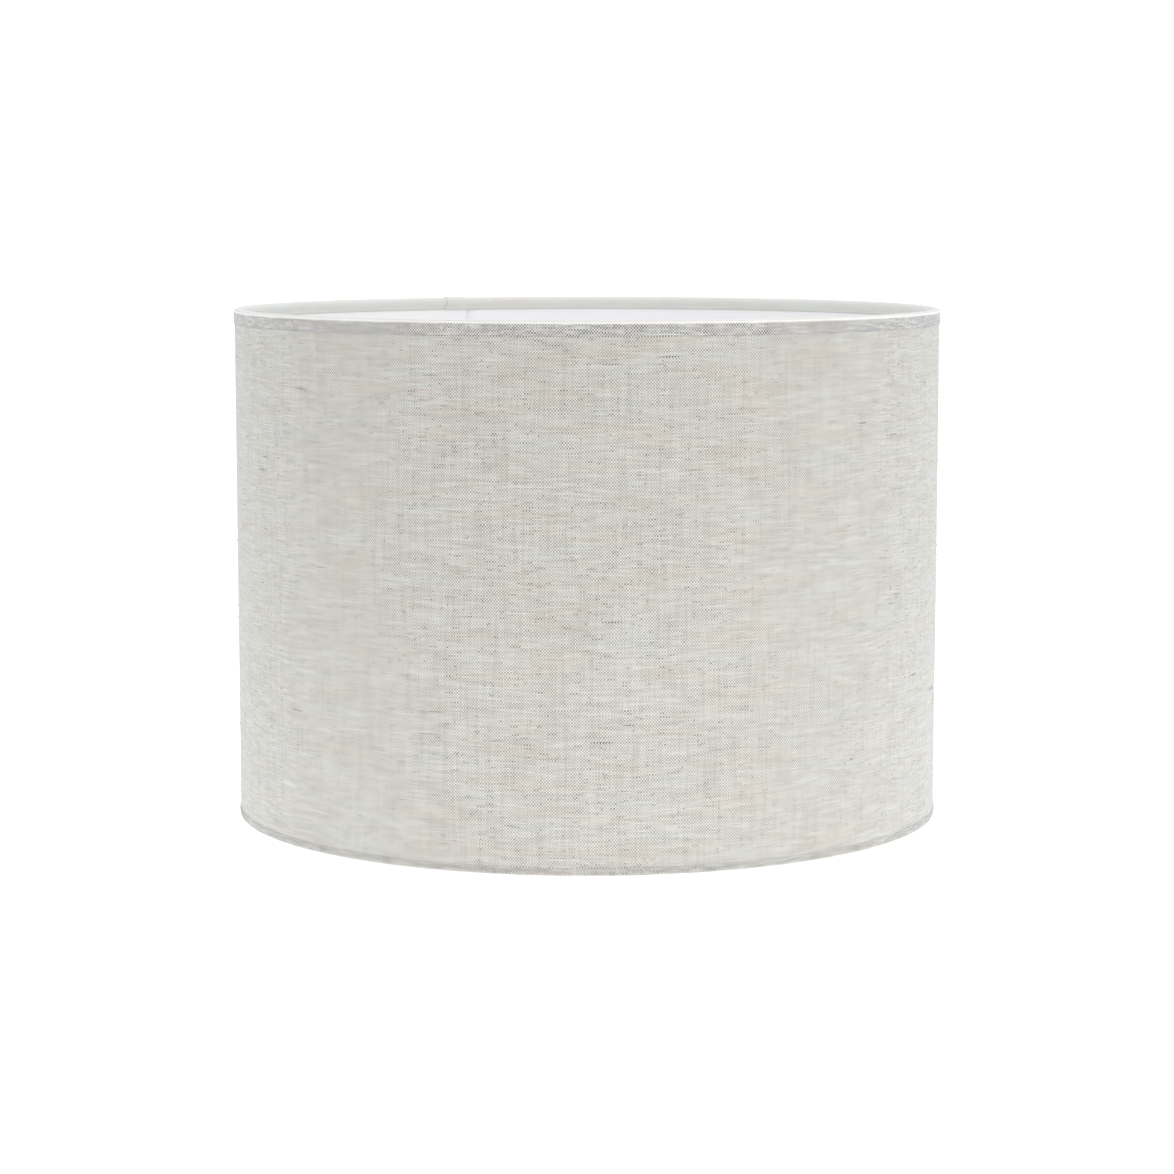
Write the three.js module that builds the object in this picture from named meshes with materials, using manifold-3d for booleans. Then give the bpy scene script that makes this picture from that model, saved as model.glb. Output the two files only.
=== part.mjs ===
// A drum lamp shade: a linen cover on a white styrene liner, lapped and taped at one seam, held round by
// two wire rings inside folded linen bindings, with a three-armed fitter on the bottom ring.
// Millimetres and degrees, +Z up, origin on the axis in the plane that the shade stands on.
import * as THREE from 'three';
import { mergeVertices } from 'three/addons/utils/BufferGeometryUtils.js';
import Module from 'manifold-3d';

// Overall size, measured over the two bindings.
const SHADE_DIAMETER = 350;
const SHADE_HEIGHT = 252;

// The sheet: linen outside, styrene inside, rolled into a drum and lapped onto its own end.
const LINEN_THICKNESS = 0.5;
const STYRENE_THICKNESS = 0.4;
const GLUE_LINE = 0.1;
const LAP_WIDTH = 14;
const LAP_CLIMB = 6;
const TAPE_WIDTH = 10;
const TAPE_THICKNESS = 0.15;
const SEAM_AZIMUTH = 112.5;

// The bindings: strips of linen folded over each edge, round the wire ring inside it.
const BINDING_THICKNESS = 0.4;
const TOP_BINDING_DROP = 7.4;
const BOTTOM_BINDING_RISE = 4.4;
const TUCK_DEPTH = 6.8;
const LAP_STEP_RUN = 2;

// The wire frame and its fitter.
const RING_WIRE = 3;
const ARM_WIRE = 3;
const ARM_SLOPE = 35;
const ARM_BEND_RADIUS = 14;
const WELD_GAP = 0.3;
const SLOT_CLEARANCE = 0.4;
const FITTER_RISE = 38;
const COLLAR_HOLE = 42;
const COLLAR_DIAMETER = 58;
const COLLAR_FLOOR = 1.6;
const COLLAR_LIP = 5;
const COLLAR_LIP_THICKNESS = 1.4;

// The reducer ring, a loose plastic ring that lies in the collar.
const REDUCER_HOLE = 29;
const REDUCER_FLANGE = 2;
const REDUCER_CROWN = 3.4;
const REDUCER_CROWN_WALL = 2;
const REDUCER_BEAD = 2.6;
const REDUCER_BEAD_WIDTH = 1.6;
const SPIGOT_WALL = 2.5;
const SPIGOT_STANDBACK = 0.2;
const REDUCER_PLAY = 0.4;
const SEAT_GAP = 0.1;
const FINGER_NOTCH_RADIUS = 5;
const FINGER_NOTCH_DEPTH = 3.2;

// How finely the round pieces are faceted.
const HOOP_FACETS = 96;
const SMALL_RING_FACETS = 48;
const WIRE_SIDES = 8;
const ARM_STEPS = 22;
const CLIMB_STATIONS = 3;
const LEAST_STATION_GAP = 0.05;

const ARMS = [
  { name: 'fitter_arm_back', azimuth: 90 },
  { name: 'fitter_arm_left', azimuth: 210 },
  { name: 'fitter_arm_right', azimuth: 330 },
];

// Radii from the outside in: each layer lies a glue line inside the one round it.
const bindingOuter = SHADE_DIAMETER / 2;
const linenOuter = bindingOuter - BINDING_THICKNESS - GLUE_LINE;
const linenInner = linenOuter - LINEN_THICKNESS;
const styreneOuter = linenInner - GLUE_LINE;
const styreneInner = styreneOuter - STYRENE_THICKNESS;
const ringCentre = styreneInner - GLUE_LINE - RING_WIRE / 2;

// Heights: the sheet and the rings stop short of each end by the binding that is folded over them.
const edgeInset = BINDING_THICKNESS + GLUE_LINE;
const sheetBottom = edgeInset;
const sheetTop = SHADE_HEIGHT - edgeInset;
const ringInset = edgeInset + RING_WIRE / 2;

// The lap: how far out the sheet's outer end stands, and the angles at which it climbs, ends and is passed.
const lapRise = STYRENE_THICKNESS + LINEN_THICKNESS + TAPE_THICKNESS + 3 * GLUE_LINE;
const lapAngle = arcAngle(LAP_WIDTH);
const climbAngle = arcAngle(LAP_CLIMB);
const stepAngle = arcAngle(LAP_STEP_RUN);

const wasm = await Module();
wasm.setup();

// The angle, in degrees, of a length of arc on the linen.
function arcAngle(length) {
  return THREE.MathUtils.radToDeg(length / linenOuter);
}

// The angles round the drum, counted from the seam, at which every hoop has a section.
function stationsRound() {
  const climbs = Array.from({ length: CLIMB_STATIONS }, (_, i) => (
    360 - climbAngle * (1 - i / CLIMB_STATIONS)));
  const fixed = [0, lapAngle, lapAngle + stepAngle, ...climbs];
  const even = Array.from({ length: HOOP_FACETS }, (_, i) => (i * 360) / HOOP_FACETS);
  const clear = even.filter((angle) => fixed.every((other) => Math.abs(angle - other) > LEAST_STATION_GAP));
  return [...fixed, ...clear].sort((a, b) => a - b);
}

// The sheet's stations run once round and on over the lap, to its outer end.
function stationsAlongSheet() {
  const round = stationsRound();
  const onTheLap = round.filter((angle) => angle <= lapAngle);
  return [...round, ...onTheLap.map((angle) => angle + 360)];
}

// How far the sheet has climbed outwards at an angle along it.
function sheetClimb(angle) {
  return lapRise * THREE.MathUtils.smoothstep(angle, 360 - climbAngle, 360);
}

// How far outwards a binding is pushed by the lap that it passes over.
function bindingClimb(angle) {
  const pastTheLap = 1 - THREE.MathUtils.smoothstep(angle, lapAngle, lapAngle + stepAngle);
  return angle < 180 ? lapRise * pastTheLap : sheetClimb(angle);
}

// A point given by its angle from the seam, its radius and its height.
function aroundSeam(angle, radius, height) {
  const azimuth = THREE.MathUtils.degToRad(SEAM_AZIMUTH + angle);
  return new THREE.Vector3(radius * Math.cos(azimuth), radius * Math.sin(azimuth), height);
}

// Joins matching polygons, one after another, into a closed body. A run that isn't closed gets flat ends.
// The polygons turn anticlockwise in the plane of radius and height.
function loft(polygons, closed) {
  const corners = polygons[0].length;
  const spans = closed ? polygons.length : polygons.length - 1;
  const last = (polygons.length - 1) * corners;
  const index = [];
  for (let i = 0; i < spans; i += 1) {
    const here = i * corners;
    const next = ((i + 1) % polygons.length) * corners;
    for (let j = 0; j < corners; j += 1) {
      const k = (j + 1) % corners;
      index.push(here + j, next + k, here + k);
      index.push(here + j, next + j, next + k);
    }
  }
  for (let j = 1; !closed && j < corners - 1; j += 1) {
    index.push(0, j, j + 1);
    index.push(last, last + j + 1, last + j);
  }
  const positions = polygons.flat().flatMap((point) => point.toArray());
  const geometry = new THREE.BufferGeometry();
  geometry.setAttribute('position', new THREE.Float32BufferAttribute(positions, 3));
  geometry.setIndex(index);
  return geometry;
}

// A hoop round the drum with one section all the way; climb moves the points that ride on the sheet.
function hoop(section, climb = () => 0) {
  const polygons = stationsRound().map((angle) => section.map(({ radius, height, rides }) => {
    const outwards = rides ? climb(angle) : 0;
    return aroundSeam(angle, radius + outwards, height);
  }));
  return loft(polygons, true);
}

// The section of a layer as tall as the sheet, moved outwards from its two radii.
function sheetSection(angle, inner, outer, outwards) {
  const corners = [[inner, sheetBottom], [outer, sheetBottom], [outer, sheetTop], [inner, sheetTop]];
  return corners.map(([radius, height]) => aroundSeam(angle, radius + outwards, height));
}

// One layer of the rolled sheet, from its inner end once round and over the lap.
function sheetLayer(inner, outer) {
  const polygons = stationsAlongSheet().map((angle) => sheetSection(angle, inner, outer, sheetClimb(angle)));
  return loft(polygons, false);
}

// The strip of double-sided tape between the two ends of the sheet, where they lap.
function seamTape() {
  const inner = linenOuter + GLUE_LINE;
  const outer = inner + TAPE_THICKNESS;
  const from = (lapAngle - arcAngle(TAPE_WIDTH)) / 2;
  const to = lapAngle - from;
  const between = stationsRound().filter((angle) => angle > from && angle < to);
  const polygons = [from, ...between, to].map((angle) =>
    sheetSection(angle, facetRadius(angle, inner), facetRadius(angle, outer), 0));
  return loft(polygons, false);
}

// How far from the axis, at an angle, the flat facet of a hoop with corners at that radius lies.
function facetRadius(angle, radius) {
  const stations = stationsRound();
  const after = stations.find((station) => station >= angle);
  const before = stations.findLast((station) => station <= angle);
  const half = THREE.MathUtils.degToRad(after - before) / 2;
  const off = THREE.MathUtils.degToRad(angle - (after + before) / 2);
  return (radius * Math.cos(half)) / Math.cos(off);
}

// A wire ring's section: a regular polygon round the wire's centre.
function wireSection(centreHeight) {
  return Array.from({ length: WIRE_SIDES }, (_, i) => (
    wirePoint(centreHeight, RING_WIRE / 2, (i * 360) / WIRE_SIDES)));
}

// A point round the ring wire's centre, given by its distance and its angle in the plane of radius and height.
function wirePoint(centreHeight, distance, angle) {
  const turn = THREE.MathUtils.degToRad(angle);
  return {
    radius: ringCentre + distance * Math.cos(turn),
    height: centreHeight + distance * Math.sin(turn),
  };
}

// A binding's section at the top edge, drawn for a shade whose top is at height 0: down the outside, over the
// sheet's edge and the wire, and tucked back against the liner. The fold's two faces are a strip apart.
function bindingSection(outsideLeg) {
  const innerFace = linenOuter + GLUE_LINE;
  const tuckFace = styreneInner - GLUE_LINE;
  const near = RING_WIRE / 2 + GLUE_LINE;
  const far = near + BINDING_THICKNESS;
  const bevel = BINDING_THICKNESS * (2 - Math.SQRT2) + GLUE_LINE;
  const tuckSlant = -ringInset - RING_WIRE;
  const outside = [
    { radius: bindingOuter, height: -outsideLeg, rides: true },
    { radius: bindingOuter, height: -bevel, rides: true },
    { radius: bindingOuter - bevel, height: 0, rides: true },
    wirePoint(-ringInset, far, 90),
    wirePoint(-ringInset, far, 135),
    wirePoint(-ringInset, far, 180),
    wirePoint(-ringInset, far, 225),
    { radius: tuckFace - BINDING_THICKNESS, height: tuckSlant - BINDING_THICKNESS },
    { radius: tuckFace - BINDING_THICKNESS, height: -TUCK_DEPTH },
  ];
  const inside = [
    { radius: tuckFace, height: -TUCK_DEPTH },
    { radius: tuckFace, height: tuckSlant },
    wirePoint(-ringInset, near, 225),
    wirePoint(-ringInset, near, 180),
    wirePoint(-ringInset, near, 135),
    wirePoint(-ringInset, near, 90),
    { radius: innerFace - GLUE_LINE, height: -BINDING_THICKNESS, rides: true },
    { radius: innerFace, height: -edgeInset, rides: true },
    { radius: innerFace, height: -outsideLeg, rides: true },
  ];
  return [...outside, ...inside];
}

// The top binding, its section lifted to the top edge.
function topBinding() {
  const section = bindingSection(TOP_BINDING_DROP);
  return hoop(section.map((point) => ({ ...point, height: SHADE_HEIGHT + point.height })), bindingClimb);
}

// The bottom binding: the same fold upside down, notched from its tucked edge where each arm comes through.
function bottomBinding() {
  const section = bindingSection(BOTTOM_BINDING_RISE);
  const upsideDown = section.map((point) => ({ ...point, height: -point.height })).reverse();
  const fold = solid(hoop(upsideDown, bindingClimb));
  const notches = ARMS.map(({ azimuth }) => solid(armNotch(azimuth)));
  return geometryOf(notches.reduce((rest, notch) => rest.subtract(notch), fold));
}

// The block that is cut from the bottom binding for one arm, from just under the arm up past the tuck.
function armNotch(azimuth) {
  const slope = THREE.MathUtils.degToRad(ARM_SLOPE);
  const tuckedFace = RING_WIRE / 2 + edgeInset;
  const armUnderside = ringInset + tuckedFace * Math.tan(slope) - ARM_WIRE / 2 / Math.cos(slope);
  const from = ringCentre - tuckedFace - SLOT_CLEARANCE;
  const to = styreneInner - GLUE_LINE / 2;
  const floor = armUnderside - SLOT_CLEARANCE;
  const top = TUCK_DEPTH + SLOT_CLEARANCE;
  const block = new THREE.BoxGeometry(to - from, ARM_WIRE + 2 * SLOT_CLEARANCE, top - floor);
  block.translate((from + to) / 2, 0, (top + floor) / 2);
  block.rotateZ(THREE.MathUtils.degToRad(azimuth));
  return block;
}

// An arm, in the plane of X and Z: up and inwards from the ring, round one bend, and level to the collar.
function fitterArm() {
  const slope = THREE.MathUtils.degToRad(ARM_SLOPE);
  const level = FITTER_RISE + COLLAR_FLOOR + (COLLAR_LIP - COLLAR_FLOOR) / 2;
  const at = (distance) => new THREE.Vector3(
    ringCentre - distance * Math.cos(slope), 0, ringInset + distance * Math.sin(slope));
  const corner = at((level - ringInset) / Math.sin(slope));
  const bend = ARM_BEND_RADIUS * Math.tan(slope / 2);
  const bendStart = corner.clone().add(new THREE.Vector3(bend * Math.cos(slope), 0, -bend * Math.sin(slope)));
  const bendEnd = corner.clone().add(new THREE.Vector3(-bend, 0, 0));
  const collarEnd = new THREE.Vector3(COLLAR_DIAMETER / 2 + WELD_GAP, 0, level);
  const path = new THREE.CurvePath();
  path.add(new THREE.LineCurve3(at(RING_WIRE / 2 + WELD_GAP), bendStart));
  path.add(new THREE.QuadraticBezierCurve3(bendStart, corner, bendEnd));
  path.add(new THREE.LineCurve3(bendEnd, collarEnd));
  const round = Array.from({ length: WIRE_SIDES }, (_, i) => {
    const turn = (i * 2 * Math.PI) / WIRE_SIDES;
    return new THREE.Vector2(Math.cos(turn), Math.sin(turn)).multiplyScalar(ARM_WIRE / 2);
  });
  return new THREE.ExtrudeGeometry(new THREE.Shape(round), { steps: ARM_STEPS, extrudePath: path });
}

// The pressed collar: a flat floor with the lampholder's hole in it, and a lip that the arms are welded to.
function fitterCollar() {
  const outer = COLLAR_DIAMETER / 2;
  return ring([
    [COLLAR_HOLE / 2, 0],
    [outer, 0],
    [outer, COLLAR_LIP],
    [outer - COLLAR_LIP_THICKNESS, COLLAR_LIP],
    [outer - COLLAR_LIP_THICKNESS, COLLAR_FLOOR],
    [COLLAR_HOLE / 2, COLLAR_FLOOR],
  ]);
}

// The reducer ring: a flange that lies on the collar's floor, a spigot in the collar's hole, a crown round
// the smaller hole, and two finger notches in its edge to lift it by.
function reducerRing() {
  const outer = COLLAR_DIAMETER / 2 - COLLAR_LIP_THICKNESS - REDUCER_PLAY;
  const spigot = COLLAR_HOLE / 2 - REDUCER_PLAY;
  const spigotDepth = COLLAR_FLOOR + SEAT_GAP - SPIGOT_STANDBACK;
  const bore = REDUCER_HOLE / 2;
  const body = solid(ring([
    [bore, 0],
    [spigot - SPIGOT_WALL, 0],
    [spigot - SPIGOT_WALL, -spigotDepth],
    [spigot, -spigotDepth],
    [spigot, 0],
    [outer, 0],
    [outer, REDUCER_BEAD],
    [outer - REDUCER_BEAD_WIDTH, REDUCER_BEAD],
    [outer - REDUCER_BEAD_WIDTH, REDUCER_FLANGE],
    [bore + REDUCER_CROWN_WALL, REDUCER_FLANGE],
    [bore + REDUCER_CROWN_WALL, REDUCER_CROWN],
    [bore, REDUCER_CROWN],
  ]));
  const notches = [-1, 1].map((side) => {
    const cutter = new THREE.CylinderGeometry(
      FINGER_NOTCH_RADIUS, FINGER_NOTCH_RADIUS, 3 * REDUCER_BEAD, SMALL_RING_FACETS / 2);
    cutter.rotateX(Math.PI / 2);
    cutter.translate(side * (outer + FINGER_NOTCH_RADIUS - FINGER_NOTCH_DEPTH), 0, REDUCER_BEAD / 2);
    return solid(cutter);
  });
  return geometryOf(notches.reduce((rest, notch) => rest.subtract(notch), body));
}

// A small ring turned round the axis, from its section's corners given as radius and height.
function ring(section) {
  const points = [...section, section[0]].map(([radius, height]) => new THREE.Vector2(radius, height));
  const turned = new THREE.LatheGeometry(points, SMALL_RING_FACETS);
  return turned.rotateX(Math.PI / 2);
}

// A three.js geometry as a solid that can be joined and cut.
function solid(geometry) {
  const bare = geometry.clone();
  bare.deleteAttribute('normal');
  bare.deleteAttribute('uv');
  const merged = mergeVertices(bare);
  const vertProperties = new Float32Array(merged.attributes.position.array);
  const triVerts = new Uint32Array(merged.index.array);
  return new wasm.Manifold(new wasm.Mesh({ numProp: 3, vertProperties, triVerts }));
}

// A solid as a three.js geometry again.
function geometryOf(manifold) {
  const mesh = manifold.getMesh();
  const geometry = new THREE.BufferGeometry();
  geometry.setAttribute('position', new THREE.BufferAttribute(mesh.vertProperties, 3));
  geometry.setIndex(new THREE.BufferAttribute(mesh.triVerts, 1));
  return geometry;
}

// The finishes: natural linen, white styrene, clear tape, white powder-coated wire and white moulded plastic.
const FINISHES = {
  linen: { color: 0xd2cdc6, roughness: 0.9, metalness: 0 },
  bindingLinen: { color: 0xc9c6bf, roughness: 0.9, metalness: 0 },
  styrene: { color: 0xf4f4f5, roughness: 0.35, metalness: 0 },
  tape: { color: 0xe9e6dc, roughness: 0.3, metalness: 0 },
  powderCoat: { color: 0xf0f0ee, roughness: 0.45, metalness: 0 },
  plastic: { color: 0xf2f1ec, roughness: 0.4, metalness: 0 },
};

// One named piece with a material of its own, at a height on the axis.
function piece(name, geometry, finish, height = 0) {
  const mesh = new THREE.Mesh(geometry, new THREE.MeshStandardMaterial(finish));
  mesh.name = name;
  mesh.position.z = height;
  return mesh;
}

// The drum: both layers of the sheet and the tape in its seam.
function drum() {
  const group = new THREE.Group();
  group.add(piece('linen_cover', sheetLayer(linenInner, linenOuter), FINISHES.linen));
  group.add(piece('styrene_liner', sheetLayer(styreneInner, styreneOuter), FINISHES.styrene));
  group.add(piece('seam_tape', seamTape(), FINISHES.tape));
  return group;
}

// The two edges: a wire ring in each, and the binding folded round it.
function edges() {
  const group = new THREE.Group();
  group.add(piece('top_ring', hoop(wireSection(SHADE_HEIGHT - ringInset)), FINISHES.powderCoat));
  group.add(piece('bottom_ring', hoop(wireSection(ringInset)), FINISHES.powderCoat));
  group.add(piece('top_binding', topBinding(), FINISHES.bindingLinen));
  group.add(piece('bottom_binding', bottomBinding(), FINISHES.bindingLinen));
  return group;
}

// The fitter: three arms turned to their places, the collar that they carry, and the reducer ring in it.
function fitter() {
  const group = new THREE.Group();
  for (const { name, azimuth } of ARMS) {
    const arm = piece(name, fitterArm(), FINISHES.powderCoat);
    arm.rotation.z = THREE.MathUtils.degToRad(azimuth);
    group.add(arm);
  }
  group.add(piece('fitter_collar', fitterCollar(), FINISHES.powderCoat, FITTER_RISE));
  group.add(piece('reducer_ring', reducerRing(), FINISHES.plastic, FITTER_RISE + COLLAR_FLOOR + SEAT_GAP));
  return group;
}

const lampShade = new THREE.Group();
lampShade.add(drum(), edges(), fitter());

export default lampShade;
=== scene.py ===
"""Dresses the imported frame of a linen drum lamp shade.

The frame gives every place and overall size, in metres. The classes below make the cloth, the folded
bindings, the liner, the wire and the fitter from those boxes and from a few sizes of their own.
"""

import logging
import math
from dataclasses import dataclass, field, replace
from enum import Enum

import bmesh
import bpy
import numpy as np
from mathutils import Matrix, Vector


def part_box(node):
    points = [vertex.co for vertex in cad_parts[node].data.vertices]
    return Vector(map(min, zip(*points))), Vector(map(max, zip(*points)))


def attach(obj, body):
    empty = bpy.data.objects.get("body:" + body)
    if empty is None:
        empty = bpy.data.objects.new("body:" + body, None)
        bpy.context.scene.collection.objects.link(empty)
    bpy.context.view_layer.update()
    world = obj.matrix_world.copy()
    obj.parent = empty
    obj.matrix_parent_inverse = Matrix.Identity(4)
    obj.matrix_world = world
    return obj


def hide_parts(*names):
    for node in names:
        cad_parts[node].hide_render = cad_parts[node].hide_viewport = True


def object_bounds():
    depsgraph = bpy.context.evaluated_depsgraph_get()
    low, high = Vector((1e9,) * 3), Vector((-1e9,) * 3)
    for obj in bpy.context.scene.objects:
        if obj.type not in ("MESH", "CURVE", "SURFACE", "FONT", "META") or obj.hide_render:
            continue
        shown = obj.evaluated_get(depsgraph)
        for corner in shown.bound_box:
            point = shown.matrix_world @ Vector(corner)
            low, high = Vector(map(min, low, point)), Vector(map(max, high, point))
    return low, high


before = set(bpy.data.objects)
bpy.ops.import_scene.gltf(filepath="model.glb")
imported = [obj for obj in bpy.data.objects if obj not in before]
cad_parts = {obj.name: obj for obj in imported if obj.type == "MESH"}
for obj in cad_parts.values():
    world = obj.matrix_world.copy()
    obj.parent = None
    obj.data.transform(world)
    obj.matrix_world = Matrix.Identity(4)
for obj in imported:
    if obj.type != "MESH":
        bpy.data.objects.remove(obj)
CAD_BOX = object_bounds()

MM = 0.001
FULL_TURN = 2 * math.pi
CLOTH = "cloth"  # where on the flat cloth a point lies, in millimetres: along the weft, then across it
TONE = "tone"  # how dark a slub is, from 0 to 1
MOST_OF_EDGE = 0.45  # the share of an edge that one rounded corner may take
CREASE = 40  # degrees past which an edge stays sharp
WIRE = 3 * MM  # the rings and the arms are all of one wire
log = logging.getLogger("lamp_shade")

Inputs = dict[str | int, object]


# ---------------------------------------------------------------------------------------------------------
# Helpers
# ---------------------------------------------------------------------------------------------------------


def linear(hex_code: str) -> tuple[float, float, float, float]:
    """Turns an sRGB colour to the linear one that a shader takes.

    Args:
        hex_code: six hex digits, without the hash.

    Returns:
        Red, green, blue and an alpha of 1.
    """
    parts = [int(hex_code[i : i + 2], 16) / 255 for i in (0, 2, 4)]
    red, green, blue = (c / 12.92 if c <= 0.04045 else ((c + 0.055) / 1.055) ** 2.4 for c in parts)
    return red, green, blue, 1.0


def add_node(
    tree: bpy.types.NodeTree, kind: str, inputs: Inputs | None = None, **settings: object
) -> bpy.types.Node:
    """Adds a node with its settings, values and links.

    Args:
        tree: the node tree that it goes in.
        kind: the node's type name.
        inputs: each input's value, or the output socket that is linked to it.
        settings: the node's own properties.

    Returns:
        The node.
    """
    node = tree.nodes.new(kind)
    for name, value in settings.items():
        setattr(node, name, value)
    for socket, value in (inputs or {}).items():
        if isinstance(value, bpy.types.NodeSocket):
            tree.links.new(value, node.inputs[socket])
        else:
            node.inputs[socket].default_value = value
    return node


def set_stops(ramp: bpy.types.Node, stops: list[tuple[float, str]]) -> None:
    """Gives a colour ramp its stops.

    Args:
        ramp: the Color Ramp node.
        stops: each stop's place from 0 to 1, and its hex colour.
    """
    elements = ramp.color_ramp.elements
    while len(elements) < len(stops):
        elements.new(1.0)
    for element, (place, colour) in zip(elements, stops):
        element.position = place
        element.color = linear(colour)


def smooth(value: np.ndarray, low: float, high: float) -> np.ndarray:
    """Rises smoothly from 0 at low to 1 at high."""
    t = np.clip((value - low) / (high - low), 0, 1)
    return t * t * (3 - 2 * t)


def make_object(name: str, vertices: np.ndarray, quads: np.ndarray) -> bpy.types.Object:
    """Makes a mesh object at the origin, shaded smooth but for its sharp edges.

    Args:
        name: the piece's name.
        vertices: its points, in metres.
        quads: four vertex numbers for each face.

    Returns:
        The object, linked to the scene.
    """
    mesh = bpy.data.meshes.new(name)
    mesh.from_pydata(vertices.tolist(), [], quads.tolist())
    mesh.update()
    mesh.shade_smooth()
    mesh.set_sharp_from_angle(angle=math.radians(CREASE))
    made = bpy.data.objects.new(name, mesh)
    bpy.context.scene.collection.objects.link(made)
    return made


def make_cloth(
    name: str, front: np.ndarray, back: np.ndarray, flat: np.ndarray, turned: bool = False
) -> bpy.types.Object:
    """Makes a thin closed sheet from the grids of its two faces.

    Args:
        name: the piece's name.
        front: the shown face's points, as (along, across, 3).
        back: the other face's points, in the same order.
        flat: where each of them lies on the flat cloth, in millimetres, as (along, across, 2).
        turned: whether the grid runs the other way round, so that its faces are to be turned.

    Returns:
        The object, with its place on the flat cloth in the CLOTH attribute.
    """
    along, across = front.shape[:2]
    at = np.arange(along * across).reshape(along, across)
    under = at + along * across
    face = np.stack([at[:-1, :-1], at[1:, :-1], at[1:, 1:], at[:-1, 1:]], -1).reshape(-1, 4)
    rims = [
        np.stack([at[1:, 0], at[:-1, 0], under[:-1, 0], under[1:, 0]], -1),
        np.stack([at[:-1, -1], at[1:, -1], under[1:, -1], under[:-1, -1]], -1),
        np.stack([at[0, :-1], at[0, 1:], under[0, 1:], under[0, :-1]], -1),
        np.stack([at[-1, 1:], at[-1, :-1], under[-1, :-1], under[-1, 1:]], -1),
    ]
    quads = np.concatenate([face, face[:, ::-1] + along * across, *rims])
    points = np.concatenate([front.reshape(-1, 3), back.reshape(-1, 3)])
    made = make_object(name, points, quads[:, ::-1] if turned else quads)
    places = np.zeros((len(points), 3), np.float32)
    places[:, :2] = np.concatenate([flat.reshape(-1, 2)] * 2)
    made.data.attributes.new(CLOTH, "FLOAT_VECTOR", "POINT").data.foreach_set("vector", places.ravel())
    return made


def rounded(corners: list[tuple[float, float]], radius: float, steps: int = 5) -> np.ndarray:
    """Rounds the corners of a closed outline.

    Args:
        corners: the outline's corners.
        radius: how far from each corner the rounding starts, or less where an edge is short.
        steps: how many points each corner gets.

    Returns:
        The rounded outline's points.
    """
    outline = np.array(corners, float)
    points = []
    for before, corner, after in zip(np.roll(outline, 1, 0), outline, np.roll(outline, -1, 0)):
        into, out = before - corner, after - corner
        reach_in = min(radius, MOST_OF_EDGE * np.linalg.norm(into))
        reach_out = min(radius, MOST_OF_EDGE * np.linalg.norm(out))
        start = corner + into / np.linalg.norm(into) * reach_in
        end = corner + out / np.linalg.norm(out) * reach_out
        for t in np.linspace(0, 1, steps):
            points.append((1 - t) ** 2 * start + 2 * t * (1 - t) * corner + t * t * end)
    return np.array(points)


def revolve(name: str, outline: np.ndarray, segments: int) -> bpy.types.Object:
    """Turns a closed outline round the Z axis.

    Args:
        name: the piece's name.
        outline: its radii and heights, anticlockwise.
        segments: how many steps a full turn has.

    Returns:
        The piece.
    """
    turns = np.arange(segments) * FULL_TURN / segments
    radii, heights = outline[:, 0], outline[:, 1]
    ones = np.ones_like(turns)
    points = np.stack(
        [np.outer(np.cos(turns), radii), np.outer(np.sin(turns), radii), np.outer(ones, heights)], -1
    )
    at = np.arange(points[..., 0].size).reshape(points.shape[:2])
    beside = np.roll(at, -1, 0)
    quads = np.stack([at, beside, np.roll(beside, -1, 1), np.roll(at, -1, 1)], -1).reshape(-1, 4)
    return make_object(name, points.reshape(-1, 3), quads)


def as_plain_mesh(source: bpy.types.Object, name: str) -> bpy.types.Object:
    """Turns an object with modifiers to a plain mesh object, and removes the first.

    Args:
        source: the object whose modifiers are to be used up.
        name: the finished piece's name.

    Returns:
        The plain object, at the origin.
    """
    bpy.context.view_layer.update()
    graph = bpy.context.evaluated_depsgraph_get()
    mesh = bpy.data.meshes.new_from_object(source.evaluated_get(graph), depsgraph=graph)
    mesh.name = name
    bpy.data.objects.remove(source)
    made = bpy.data.objects.new(name, mesh)
    bpy.context.scene.collection.objects.link(made)
    return made


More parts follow.
